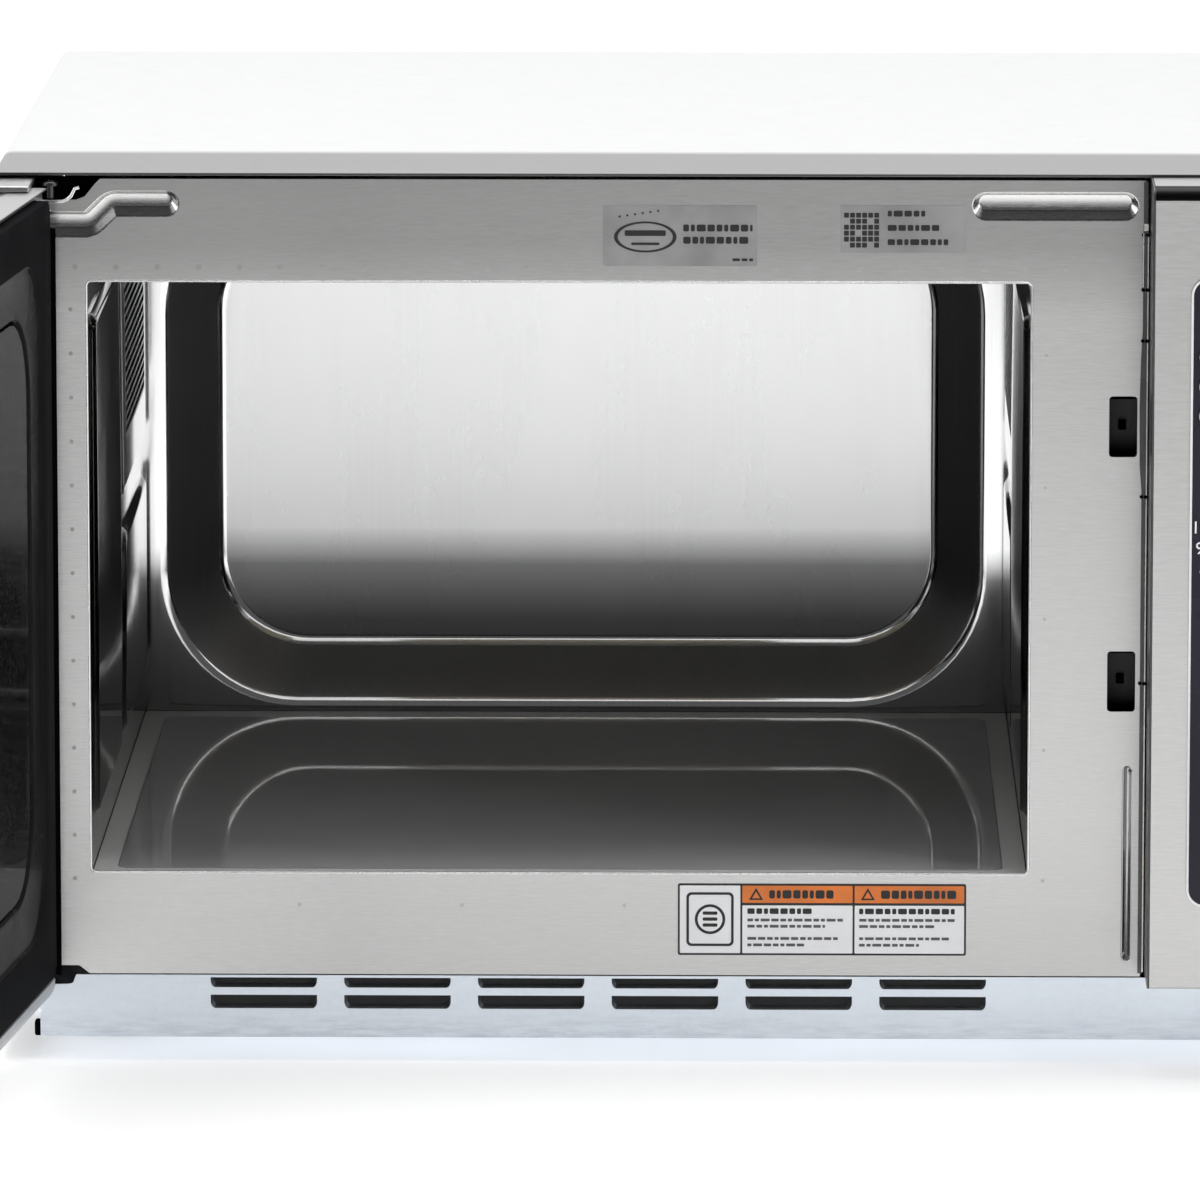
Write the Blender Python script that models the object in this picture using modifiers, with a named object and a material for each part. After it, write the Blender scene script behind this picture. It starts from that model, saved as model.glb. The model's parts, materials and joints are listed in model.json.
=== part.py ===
"""Commercial countertop microwave oven, stainless, with its door standing open.

Driving dimensions are in millimetres and MM turns them into Blender's metres.
The cabinet's frame has X = 0 in the middle of the case, Y = 0 on the front frame's
face with +Y towards the back, and Z = 0 on the surface that the feet stand on.
The door is drawn shut in that frame and its hinge empty then swings it open.
"""
import math

import bmesh
import bpy
from mathutils import Matrix, Vector

MM = 0.001
GAP = 0.3                 # air left between neighbouring pieces
WELD = 0.00005            # metres

# Case
CASE_HALF = 279.5
CASE_TOP = 352.8
CASE_DEPTH = 418.0
FOOT_HEIGHT = 9.0
SHEET = 1.0

# The cabinet's place in the object's own frame, whose origin is under the middle
# of the oven and its open door
CABINET_X = 43.0
CABINET_Y = 17.2

# Front frame and cavity
FRAME_LOW = 34.7
FRAME_HIGH = 351.3
FRAME_RIGHT = 171.0
CAVITY_LEFT = -241.7
CAVITY_RIGHT = 126.3
CAVITY_LOW = 75.8
CAVITY_HIGH = 309.8
CAVITY_DEPTH = 362.0
RECESS = 19.0
PAN_DROP = 6.6            # the pan's floor lies this far under the shelf's top

# Control panel
PANEL_LEFT = 172.7
PANEL_LOW = 35.8
PANEL_HIGH = 351.6
PANEL_DEPTH = 31.0
OVERLAY_LEFT = 187.7
OVERLAY_RIGHT = 264.5
OVERLAY_LOW = 68.9
OVERLAY_HIGH = 316.6
KEY_X = 195.0
KEY_HEIGHTS = (285.5, 274.0, 262.5)
KEY_RADIUS = 4.2
KNOB_X = 226.0
KNOB_Z = 112.0
KNOB_RADIUS = 22.0

# Door, shut
HINGE_X = -270.0
HINGE_Y = -17.0
OPEN_ANGLE = 96.6
DOOR_LEFT = -279.0
DOOR_RIGHT = 170.4
DOOR_LOW = 27.5
DOOR_HIGH = 347.6
DOOR_FACE = -35.0
WINDOW_LEFT = -205.0
WINDOW_RIGHT = 92.0
WINDOW_LOW = 82.0
WINDOW_HIGH = 305.0
HANDLE_X = 146.0
HANDLE_Y = -59.0
HANDLE_RADIUS = 6.0
HANDLE_LOW = 72.0
HANDLE_HIGH = 300.0
HANDLE_BEND = 13.0

# Latch
LATCH_X = 162.8
LATCH_SLOTS = ((140.6, 164.6), (241.6, 265.6))

PAINTS = {
    # name: colour, roughness, metallic
    "stainless": ((0.62, 0.60, 0.58), 0.32, 1.0),
    "cavity_steel": ((0.60, 0.59, 0.58), 0.25, 1.0),
    "galvanised": ((0.72, 0.78, 0.83), 0.45, 0.9),
    "zinc": ((0.70, 0.70, 0.68), 0.35, 1.0),
    "black_plastic": ((0.03, 0.03, 0.035), 0.35, 0.0),
    "dark_glass": ((0.05, 0.05, 0.05), 0.08, 0.0),
    "overlay": ((0.05, 0.045, 0.06), 0.30, 0.0),
    "rubber": ((0.04, 0.04, 0.04), 0.80, 0.0),
    "white_plastic": ((0.80, 0.79, 0.76), 0.50, 0.0),
    "mica": ((0.72, 0.66, 0.54), 0.60, 0.0),
    "copper": ((0.72, 0.38, 0.20), 0.40, 1.0),
    "lamination": ((0.30, 0.29, 0.28), 0.60, 0.8),
    "aluminium": ((0.75, 0.75, 0.76), 0.35, 1.0),
    "board": ((0.10, 0.28, 0.14), 0.55, 0.0),
    "foam": ((0.12, 0.12, 0.12), 0.90, 0.0),
}


# ---------------------------------------------------------------- scene and helpers

def clear_scene():
    """Remove every object, so the script can be run again."""
    for item in list(bpy.data.objects):
        bpy.data.objects.remove(item, do_unlink=True)


def collection(name):
    """A new collection linked to the scene."""
    made = bpy.data.collections.new(name)
    bpy.context.scene.collection.children.link(made)
    return made


def paint(name):
    """The shared settings of one finish as a fresh material."""
    colour, roughness, metallic = PAINTS[name]
    material = bpy.data.materials.new(name)
    material.use_nodes = True
    shader = material.node_tree.nodes["Principled BSDF"]
    shader.inputs["Base Color"].default_value = (*colour, 1.0)
    shader.inputs["Roughness"].default_value = roughness
    shader.inputs["Metallic"].default_value = metallic
    return material


def pivot(name, place, parent=None):
    """An empty at a place in the cabinet's frame, in millimetres."""
    empty = bpy.data.objects.new(name, None)
    PARTS.objects.link(empty)
    empty["home"] = place
    home = Vector(parent["home"]) if parent else Vector((0.0, 0.0, 0.0))
    empty.location = (Vector(place) - home) * MM
    empty.parent = parent
    return empty


def put(item, place, finish, parent):
    """Link an object at a place in the cabinet's frame; no finish makes a cutter."""
    for owner in list(item.users_collection):
        owner.objects.unlink(item)
    item.parent = parent
    item.location = (Vector(place) - Vector(parent["home"])) * MM
    if finish is None:
        CUTTERS.objects.link(item)
        item.hide_render = True
        item.display_type = "WIRE"
        return item
    PARTS.objects.link(item)
    item.data.materials.clear()
    item.data.materials.append(paint(finish))
    return item


def soften(item, width, segments=2, angle=40):
    """Round an object's edges."""
    bevel = item.modifiers.new("rounding", "BEVEL")
    bevel.width = width * MM
    bevel.segments = segments
    bevel.limit_method = "ANGLE"
    bevel.angle_limit = math.radians(angle)
    return item


def boolean(item, other, operation):
    """Cut or join one object with another."""
    step = item.modifiers.new(operation.lower(), "BOOLEAN")
    step.operation = operation
    step.object = other
    step.solver = "EXACT"
    return item


def cut(item, *cutters):
    """Cut holes in an object."""
    for cutter in cutters:
        boolean(item, cutter, "DIFFERENCE")
    return item


def join(item, *additions):
    """Fuse further solids, which are hidden themselves, into an object."""
    for addition in additions:
        boolean(item, addition, "UNION")
    return item


def blocks(name, spans, finish, parent):
    """One object made of boxes, each a pair of corners."""
    centre = (Vector(spans[0][0]) + Vector(spans[0][1])) / 2
    mesh = bpy.data.meshes.new(name)
    form = bmesh.new()
    for low, high in spans:
        made = bmesh.ops.create_cube(form, size=1.0)["verts"]
        size = Vector(high) - Vector(low)
        middle = (Vector(high) + Vector(low)) / 2 - centre
        bmesh.ops.scale(form, vec=size * MM, verts=made)
        bmesh.ops.translate(form, vec=middle * MM, verts=made)
    form.to_mesh(mesh)
    form.free()
    return put(bpy.data.objects.new(name, mesh), centre, finish, parent)


def box(name, low, high, finish, parent):
    """A plain box between two corners."""
    return blocks(name, [(low, high)], finish, parent)


def arc(centre_u, centre_v, radius, start, end, steps=5):
    """Points along an arc, in degrees."""
    points = []
    for index in range(steps + 1):
        angle = math.radians(start + (end - start) * index / steps)
        points.append((centre_u + radius * math.cos(angle), centre_v + radius * math.sin(angle)))
    return points


def rounded(left, low, right, high, radius, steps=5):
    """A rectangle's outline with rounded corners, anticlockwise."""
    return (arc(right - radius, high - radius, radius, 0, 90, steps)
            + arc(left + radius, high - radius, radius, 90, 180, steps)
            + arc(left + radius, low + radius, radius, 180, 270, steps)
            + arc(right - radius, low + radius, radius, 270, 360, steps))


def rectangle(left, low, right, high):
    """A rectangle's outline."""
    return [(left, low), (right, low), (right, high), (left, high)]


def circle(centre_u, centre_v, radius, steps=24):
    """A circle's outline."""
    return arc(centre_u, centre_v, radius, 0, 360 - 360 / steps, steps - 1)


TURNS = {
    # plane's normal: the rotation that stands a flat outline in that plane
    "X": (math.pi / 2, 0.0, math.pi / 2),
    "Y": (math.pi / 2, 0.0, 0.0),
    "Z": (0.0, 0.0, 0.0),
}


def on_axis(axis, u, v, along):
    """A point from its two outline coordinates and its place along the normal."""
    if axis == "X":
        return (along, u, v)
    if axis == "Y":
        return (u, along, v)
    return (u, v, along)


def slab(name, outlines, axis, low, high, finish, parent, centre=(0.0, 0.0)):
    """A flat outline, with any holes, extruded along an axis and made a mesh."""
    curve = bpy.data.curves.new(name, "CURVE")
    curve.dimensions = "2D"
    curve.fill_mode = "BOTH"
    curve.extrude = abs(high - low) / 2 * MM
    for outline in outlines:
        spline = curve.splines.new("POLY")
        spline.points.add(len(outline) - 1)
        spline.use_cyclic_u = True
        for point, (u, v) in zip(spline.points, outline):
            point.co = ((u - centre[0]) * MM, (v - centre[1]) * MM, 0.0, 1.0)
    drawn = bpy.data.objects.new(name + "_outline", curve)
    bpy.context.scene.collection.objects.link(drawn)
    item = bpy.data.objects.new(name, as_mesh(drawn, name))
    item.rotation_euler = TURNS[axis]
    return put(item, on_axis(axis, centre[0], centre[1], (low + high) / 2), finish, parent)


def as_mesh(drawn, name):
    """A curve object's evaluated mesh, welded; the curve is removed."""
    bpy.context.view_layer.update()
    graph = bpy.context.evaluated_depsgraph_get()
    mesh = bpy.data.meshes.new_from_object(drawn.evaluated_get(graph))
    mesh.name = name
    form = bmesh.new()
    form.from_mesh(mesh)
    bmesh.ops.remove_doubles(form, verts=form.verts, dist=WELD)
    bmesh.ops.recalc_face_normals(form, faces=form.faces)
    form.to_mesh(mesh)
    form.free()
    bpy.data.objects.remove(drawn, do_unlink=True)
    return mesh


def loft(name, sections, axis, thickness, finish, parent):
    """A pressed sheet through outlines of equal point counts, closed by a flat end.

    Each section is an outline and its place along the axis. The sheet's thickness
    grows away from the side that the first section is seen from.
    """
    mesh = bpy.data.meshes.new(name)
    form = bmesh.new()
    rings = []
    for outline, along in sections:
        rings.append([form.verts.new(Vector(on_axis(axis, u, v, along)) * MM) for u, v in outline])
    for first, second in zip(rings, rings[1:]):
        for index in range(len(first)):
            after = (index + 1) % len(first)
            form.faces.new((first[index], first[after], second[after], second[index]))
    form.faces.new(rings[-1])
    form.to_mesh(mesh)
    form.free()
    item = put(bpy.data.objects.new(name, mesh), (0.0, 0.0, 0.0), finish, parent)
    shell = item.modifiers.new("sheet", "SOLIDIFY")
    shell.thickness = thickness * MM
    shell.offset = -1.0
    return item


def turned(name, profile, place, turn, finish, parent, steps=24):
    """A solid of revolution: the profile runs from the top of the axis, down the
    outer side, to the foot of the axis."""
    mesh = bpy.data.meshes.new(name)
    form = bmesh.new()
    points = [form.verts.new((radius * MM, 0.0, height * MM)) for radius, height in profile]
    for first, second in zip(points, points[1:]):
        form.edges.new((first, second))
    form.to_mesh(mesh)
    form.free()
    item = put(bpy.data.objects.new(name, mesh), place, finish, parent)
    item.rotation_euler = turn
    screw = item.modifiers.new("turning", "SCREW")
    screw.steps = steps
    screw.render_steps = steps
    screw.use_merge_vertices = True
    screw.merge_threshold = WELD
    screw.use_smooth_shade = False
    return item


def rod(name, radius, low, high, axis, place, finish, parent, steps=24):
    """A round bar along an axis, between two places on it."""
    half = (high - low) / 2
    middle = on_axis(axis, place[0], place[1], (low + high) / 2)
    profile = [(0.0, half), (radius, half), (radius, -half), (0.0, -half)]
    turn = {"X": (0.0, math.pi / 2, 0.0), "Y": (-math.pi / 2, 0.0, 0.0), "Z": (0.0, 0.0, 0.0)}
    return turned(name, profile, middle, turn[axis], finish, parent, steps)


def pipe(name, points, radius, finish, parent, sides=4):
    """A bent round wire or tube through its points."""
    curve = bpy.data.curves.new(name, "CURVE")
    curve.dimensions = "3D"
    curve.bevel_depth = radius * MM
    curve.bevel_resolution = sides
    curve.use_fill_caps = True
    spline = curve.splines.new("POLY")
    spline.points.add(len(points) - 1)
    for point, where in zip(spline.points, points):
        point.co = (*(Vector(where) * MM), 1.0)
    drawn = bpy.data.objects.new(name + "_line", curve)
    bpy.context.scene.collection.objects.link(drawn)
    return put(bpy.data.objects.new(name, as_mesh(drawn, name)), (0.0, 0.0, 0.0), finish, parent)


def bend(start, corner, end, radius, steps=6):
    """Points that round a corner between two straight runs."""
    start, corner, end = Vector(start), Vector(corner), Vector(end)
    towards = (start - corner).normalized()
    away = (end - corner).normalized()
    half = towards.angle(away) / 2
    centre = corner + (towards + away).normalized() * (radius / math.sin(half))
    first = corner + towards * (radius / math.tan(half)) - centre
    last = corner + away * (radius / math.tan(half)) - centre
    sweep = first.angle(last)
    points = []
    for index in range(steps + 1):
        share = index / steps
        spread = math.sin((1 - share) * sweep) * first + math.sin(share * sweep) * last
        points.append(centre + spread / math.sin(sweep))
    return points


def studs(name, radius, places, axis, low, high, finish, parent, steps=12):
    """One object made of equal round bars standing at several places."""
    mesh = bpy.data.meshes.new(name)
    form = bmesh.new()
    for place in places:
        made = bmesh.ops.create_cone(form, cap_ends=True, segments=steps, radius1=radius * MM,
                                     radius2=radius * MM, depth=(high - low) * MM)["verts"]
        if axis == "Y":
            bmesh.ops.rotate(form, verts=made, cent=(0, 0, 0),
                             matrix=Matrix.Rotation(math.pi / 2, 3, "X"))
        middle = Vector(on_axis(axis, place[0], place[1], (low + high) / 2))
        bmesh.ops.translate(form, vec=middle * MM, verts=made)
    form.to_mesh(mesh)
    form.free()
    return put(bpy.data.objects.new(name, mesh), (0.0, 0.0, 0.0), finish, parent)


# ---------------------------------------------------------------- cabinet

LOUVRE_COLUMNS = 6
LOUVRE_PITCH = 52.75
LOUVRE_FIRST = -195.3      # left end of the first louvre
LOUVRE_WIDTH = 42.0
LOUVRE_ROWS = ((21.2, 26.2), (29.6, 33.0))
BASE_LIP = 34.2
BASE_LEFT = -263.0


def make_base_plate(oven):
    """A galvanised tray whose front lip carries two rows of louvres."""
    back = CASE_DEPTH - 1.5
    edge = CASE_HALF - SHEET - GAP
    section = [(0, FOOT_HEIGHT), (back, FOOT_HEIGHT), (back, 30), (back - SHEET, 30),
               (back - SHEET, FOOT_HEIGHT + SHEET), (SHEET, FOOT_HEIGHT + SHEET),
               (SHEET, BASE_LIP), (0, BASE_LIP)]
    plate = slab("base_plate", [section], "X", -edge, edge, "galvanised", oven)
    slots = []
    for low, high in LOUVRE_ROWS:
        for column in range(LOUVRE_COLUMNS):
            left = LOUVRE_FIRST + column * LOUVRE_PITCH
            slots.append(((left, -2, low), (left + LOUVRE_WIDTH, 1.6, high)))
    louvres = blocks("louvre_cutter", slots, None, oven)
    corner = box("lip_corner_cutter", (-CASE_HALF, -1, FOOT_HEIGHT + 1.2), (BASE_LEFT, 1.6, 40), None, oven)
    tab = box("lip_tab_cutter", (BASE_LEFT - 1, -1, 30.4), (-249.5, 1.6, 40), None, oven)
    return cut(plate, louvres, corner, tab)


SIDE_VENTS = 8
SIDE_VENT_PITCH = 8.0


def make_outer_case(oven):
    """The wrap: left side, top and right side bent from one sheet, with side vents."""
    outer = 4.0
    inner = outer - SHEET
    low = FOOT_HEIGHT + 0.6
    side = CASE_HALF
    outline = [(side, low)]
    outline += arc(side - outer, CASE_TOP - outer, outer, 0, 90, 4)
    outline += arc(-side + outer, CASE_TOP - outer, outer, 90, 180, 4)
    outline += [(-side, low), (-side + SHEET, low)]
    outline += arc(-side + outer, CASE_TOP - outer, inner, 180, 90, 4)
    outline += arc(side - outer, CASE_TOP - outer, inner, 90, 0, 4)
    outline += [(side - SHEET, low)]
    case = slab("outer_case", [outline], "Y", 0.0, CASE_DEPTH - 1.3, "stainless", oven)
    slots = []
    for index in range(SIDE_VENTS):
        height = 60 + index * SIDE_VENT_PITCH
        slots.append(((side - 3, 300, height), (side + 3, 370, height + 3)))
        slots.append(((-side - 3, 300, height), (-side + 3, 370, height + 3)))
    return cut(case, blocks("side_vent_cutter", slots, None, oven))


FAN_X = 206.0
FAN_Z = 205.0
FAN_RADIUS = 44.0
GLAND_X = 232.0
GLAND_Z = 42.0


def make_back_panel(oven):
    """The rear sheet, with the fan's outlet, the exhaust vents and the cord's hole."""
    edge = CASE_HALF - SHEET - GAP
    panel = slab("back_panel", [rounded(-edge, FOOT_HEIGHT + 0.6, edge, CASE_TOP - SHEET - GAP, 4.0, 3)],
                 "Y", CASE_DEPTH - 1.0, CASE_DEPTH, "galvanised", oven)
    slots = []
    for index in range(9):
        height = FAN_Z - 38 + index * 9
        slots.append(((FAN_X - 40, CASE_DEPTH - 4, height), (FAN_X + 40, CASE_DEPTH + 3, height + 4)))
        slots.append(((-230, CASE_DEPTH - 4, height), (-150, CASE_DEPTH + 3, height + 4)))
    vents = blocks("rear_vent_cutter", slots, None, oven)
    hole = rod("gland_cutter", 9.0, CASE_DEPTH - 5, CASE_DEPTH + 5, "Y", (GLAND_X, GLAND_Z), None, oven)
    return cut(panel, vents, hole)


def make_cord_gland(oven):
    """The ribbed bush that a mains lead would pass through."""
    bore = 4.6
    profile = [(bore, 3.0), (11.0, 3.0), (11.5, 2.0), (11.5, GAP), (8.5, GAP), (8.5, -5.0), (bore, -5.0)]
    gland = turned("cord_gland", profile + [profile[0]], (GLAND_X, CASE_DEPTH, GLAND_Z),
                   (-math.pi / 2, 0.0, 0.0), "black_plastic", oven, 20)
    return gland


RECESS_DEPTH = 2.7


def stadium(left, right, height, radius):
    """A long outline with round ends."""
    return rounded(left, height - radius, right, height + radius, radius - 0.01, 5)


RECESSES = (
    ("latch_recess", 103.4, 168.3, 340.2, 5.7),
    ("hinge_recess_low", -267.0, -233.4, 332.4, 5.2),
    ("hinge_recess_high", -239.4, -205.6, 340.6, 5.2),
)


def press_recesses(frame, oven):
    """Long recesses pressed back into the front frame, floors and walls one sheet thick."""
    for name, left, right, height, radius in RECESSES:
        wall = stadium(left - SHEET, right + SHEET, height, radius + SHEET)
        join(frame, slab(f"{name}_wall", [wall], "Y", SHEET / 2, RECESS_DEPTH + SHEET, None, oven))
    for name, left, right, height, radius in RECESSES:
        room = stadium(left, right, height, radius)
        cut(frame, slab(f"{name}_room", [room], "Y", -SHEET, RECESS_DEPTH, None, oven))
    return frame


def make_front_frame(oven):
    """The welded face of the cavity: the opening, the latch slots and pressed recesses."""
    edge = -CASE_HALF + SHEET + GAP
    outline = [(edge, FRAME_LOW), (FRAME_RIGHT, FRAME_LOW), (FRAME_RIGHT, FRAME_HIGH),
               (-237.0, FRAME_HIGH), (-243.0, 343.0), (edge, 343.0)]
    opening = rounded(CAVITY_LEFT, CAVITY_LOW, CAVITY_RIGHT, CAVITY_HIGH, 1.5, 2)
    holes = [opening]
    for low, high in LATCH_SLOTS:
        holes.append(rectangle(157.2, low, 168.2, high))
    frame = slab("front_frame", [outline] + holes, "Y", 0.0, SHEET, "stainless", oven)
    return press_recesses(frame, oven)


def make_cavity_shell(oven):
    """The cavity's walls, ceiling and pan, bent into one tube, with its air slots."""
    wall = 1.0
    low = CAVITY_LOW - PAN_DROP
    inner = rectangle(CAVITY_LEFT, low, CAVITY_RIGHT, CAVITY_HIGH)
    outer = rectangle(CAVITY_LEFT - wall, low - wall, CAVITY_RIGHT + wall, CAVITY_HIGH + wall)
    shell = slab("cavity_shell", [outer, inner], "Y", SHEET + GAP, CAVITY_DEPTH - GAP, "cavity_steel", oven)
    slots = []
    for index in range(5):
        start = 250 + index * 14
        slots.append(((CAVITY_RIGHT - 2, start, 270), (CAVITY_RIGHT + 3, start + 4, 300)))
        slots.append(((CAVITY_LEFT - 3, start, 270), (CAVITY_LEFT + 2, start + 4, 300)))
    air = blocks("air_slot_cutter", slots, None, oven)
    feed = rod("feed_cutter", FEED_RADIUS, CAVITY_HIGH - 3, CAVITY_HIGH + 4, "Z",
               (STIRRER_X, STIRRER_Y), None, oven)
    return cut(shell, air, feed)


def make_cavity_back(oven):
    """The back wall, dished backwards through a sloping band."""
    low = CAVITY_LOW - PAN_DROP
    rim = rounded(CAVITY_LEFT - 1.0, low - 1.0, CAVITY_RIGHT + 1.0, CAVITY_HIGH + 1.0, 1.0, 6)
    mouth = rounded(-232.6, 80.0, 115.6, 303.0, 56.0, 6)
    floor = rounded(-208.7, 103.5, 94.9, 283.0, 37.0, 6)
    sections = [(rim, CAVITY_DEPTH), (mouth, CAVITY_DEPTH + 0.3), (floor, CAVITY_DEPTH + RECESS)]
    return loft("cavity_back", sections, "Y", 0.8, "cavity_steel", oven)


SHELF_BORDER = 9.6
SHELF_BACK = 345.0


def make_floor(oven):
    """The glass-ceramic shelf, flush with the opening's lower edge, and its seal."""
    top = CAVITY_LOW
    low = top - PAN_DROP + GAP
    left = CAVITY_LEFT + SHELF_BORDER
    right = CAVITY_RIGHT - SHELF_BORDER
    front = 8.0
    shelf = slab("floor_shelf", [rounded(left, front, right, SHELF_BACK, 6.0, 3)], "Z", low, top,
                 "dark_glass", oven)
    outer = rectangle(CAVITY_LEFT + GAP, SHEET + 0.8, CAVITY_RIGHT - GAP, CAVITY_DEPTH - 1.0)
    inner = rounded(left - GAP, front - GAP, right + GAP, SHELF_BACK + GAP, 6.2, 3)
    slab("shelf_seal", [outer, inner], "Z", low, top - 0.4, "cavity_steel", oven)
    return shelf


STIRRER_X = -57.7
STIRRER_Y = 170.0
STIRRER_Z = 318.0
FEED_RADIUS = 72.0


def make_stirrer(oven):
    """The antenna turning over the feed hole, its flat cover and its motor."""
    reach = FEED_RADIUS + 9
    outline = rounded(STIRRER_X - reach, STIRRER_Y - reach, STIRRER_X + reach, STIRRER_Y + reach, 20, 4)
    slab("stirrer_cover", [outline], "Z", CAVITY_HIGH - GAP - 1.6, CAVITY_HIGH - GAP, "mica", oven)
    shaft = 336.0 - STIRRER_Z
    hub = (STIRRER_X, STIRRER_Y, STIRRER_Z)
    antenna = pivot("stirrer_axis", hub, oven)
    disc_radius = FEED_RADIUS - 6
    profile = [(0, shaft), (2.5, shaft), (2.5, 1.0), (disc_radius, 1.0), (disc_radius, -0.5), (0, -0.5)]
    disc = turned("stirrer_antenna", profile, hub, (0, 0, 0), "aluminium", antenna, 28)
    under, over = STIRRER_Z - 2, STIRRER_Z + 3
    slots = [((STIRRER_X + 18, STIRRER_Y - 8, under), (STIRRER_X + 54, STIRRER_Y + 8, over)),
             ((STIRRER_X - 54, STIRRER_Y - 4, under), (STIRRER_X - 18, STIRRER_Y + 4, over))]
    cut(disc, blocks("antenna_slot_cutter", slots, None, antenna))
    rod("stirrer_motor", 20.0, 337.5, 350.5, "Z", (STIRRER_X, STIRRER_Y), "zinc", oven)


MAGNETRON_X = 172.0
WAVEGUIDE_LOW = 311.4
WAVEGUIDE_HIGH = 333.5


def make_microwave_source(oven):
    """The magnetron, its fins and the waveguide over the ceiling."""
    half = FEED_RADIUS + 6
    low = (STIRRER_X - half, STIRRER_Y - half, WAVEGUIDE_LOW)
    high = (MAGNETRON_X + 44, STIRRER_Y + half, WAVEGUIDE_HIGH)
    guide = box("waveguide", low, high, "cavity_steel", oven)
    bore = box("waveguide_cutter", (low[0] + 1, low[1] + 1, low[2] + 1),
               (high[0] - 1, high[1] - 1, high[2] - 1), None, oven)
    port = rod("port_cutter", 11.0, low[2] - 3, low[2] + 3, "Z", (MAGNETRON_X, STIRRER_Y), None, oven)
    feed = rod("feed_port_cutter", FEED_RADIUS, low[2] - 3, low[2] + 3, "Z",
               (STIRRER_X, STIRRER_Y), None, oven)
    shaft = rod("shaft_port_cutter", 4.0, high[2] - 3, high[2] + 3, "Z", (STIRRER_X, STIRRER_Y), None, oven)
    cut(guide, bore, port, feed, shaft)
    anode = 20.0
    profile = [(0, 330), (8, 328), (8, 311), (34, 311), (34, 307), (anode, 307), (anode, 228), (12, 226),
               (12, 214), (0, 214)]
    turned("magnetron", profile, (MAGNETRON_X, STIRRER_Y, 0.0), (0, 0, 0), "aluminium", oven, 20)
    stack = []
    hole = circle(MAGNETRON_X, STIRRER_Y, anode + 0.4, 20)
    for index in range(6):
        height = 236 + index * 11
        outline = rectangle(MAGNETRON_X - 36, STIRRER_Y - 30, MAGNETRON_X + 36, STIRRER_Y + 30)
        stack.append(([outline, hole], height, height + 0.8))
    fins = gather("magnetron_fins", stack, "aluminium", oven)
    yoke = [((MAGNETRON_X - 36, STIRRER_Y + side - 1, 233), (MAGNETRON_X + 36, STIRRER_Y + side + 1, 295))
            for side in (-30, 30)]
    join(fins, blocks("yoke_joiner", yoke, None, oven))


def gather(name, stack, finish, parent):
    """One object made of several flat plates that stand over one another."""
    mesh = bpy.data.meshes.new(name)
    form = bmesh.new()
    for index, (outlines, low, high) in enumerate(stack):
        plate = slab(f"{name}_{index}", outlines, "Z", low, high, None, parent)
        piece = plate.data.copy()
        piece.transform(Matrix.Translation(plate.location))
        form.from_mesh(piece)
        bpy.data.objects.remove(plate, do_unlink=True)
    form.to_mesh(mesh)
    form.free()
    return put(bpy.data.objects.new(name, mesh), (0.0, 0.0, 0.0), finish, parent)


def make_power_supply(oven):
    """Transformer, capacitor, diode and line filter in the right-hand bay."""
    floor = FOOT_HEIGHT + SHEET + GAP
    outer = rectangle(150, floor, 240, 90)
    windows = [rectangle(162, 24, 180, 76), rectangle(210, 24, 228, 76)]
    slab("transformer_core", [outer] + windows, "Y", 55, 120, "lamination", oven)
    coil_outer = rounded(163, 38, 227, 137, 10, 3)
    coil_inner = rectangle(179.2, 54.2, 210.8, 120.8)
    slab("transformer_coils", [coil_outer, coil_inner], "Z", 25, 75, "copper", oven)
    can = slab("hv_capacitor", [rounded(140, 160, 176, 240, 17.9, 6)], "Z", floor, 104, "aluminium", oven)
    posts = studs("capacitor_post_joiner", 3.0, [(158, 185), (158, 215)], "Z", 102, 112, None, oven)
    join(can, posts)
    rod("hv_diode", 4.0, 190, 214, "X", (215, 22), "black_plastic", oven, 16)
    card = blocks("line_filter", [((150, 254, 316), (268, 366, 317.6))], "board", oven)
    coils = [((165, 260, 317), (200, 292, 336)), ((215, 262, 317), (250, 282, 330)),
             ((170, 305, 317), (215, 345, 334)), ((228, 300, 317), (250, 340, 328))]
    lumps = blocks("filter_lump_joiner", coils, None, oven)
    join(card, lumps)


def make_cooling(oven):
    """Fan, shroud, motor and the duct that carries the air to the magnetron."""
    plate = [rectangle(136, 140, 276, 306), circle(FAN_X, FAN_Z, FAN_RADIUS + 3, 28)]
    slab("fan_shroud", plate, "Y", 371, 373, "zinc", oven)
    axis = pivot("fan_axis", (FAN_X, 386, FAN_Z), oven)
    turn = (-math.pi / 2, 0.0, 0.0)
    hub_profile = [(2.8, 8), (13, 8), (13, -8), (0, -8), (0, -2), (2.8, -2), (2.8, 8)]
    hub = turned("fan_blade", hub_profile, (FAN_X, 386, FAN_Z), turn, "black_plastic", axis, 20)
    count = 5
    for index in range(count):
        angle = 2 * math.pi * index / count
        blade = box(f"blade_{index}", (FAN_X - 13, 385.2, FAN_Z + 11), (FAN_X + 13, 386.8, FAN_Z + 42),
                    None, axis)
        reach = Matrix.Rotation(angle, 4, "Y") @ Matrix.Translation((0, 0, 26.5 * MM))
        pitch = Matrix.Rotation(math.radians(26), 4, "Z")
        blade.data.transform(reach @ pitch)
        blade.location = (0, 0, 0)
        join(hub, blade)
    motor = rod("fan_motor", 23.0, 398, 414, "Y", (FAN_X, FAN_Z), "zinc", oven)
    join(motor, rod("fan_shaft_joiner", 2.5, 390, 400, "Y", (FAN_X, FAN_Z), None, oven))
    duct = [rectangle(136, 215, 231, 305), rectangle(137.5, 216.5, 229.5, 303.5)]
    slab("air_duct", duct, "Y", 226, 368, "black_plastic", oven)
    slab("intake_filter", [rectangle(-240, 12, 130, 33.5)], "Y", 2.2, 6.0, "foam", oven)


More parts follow.
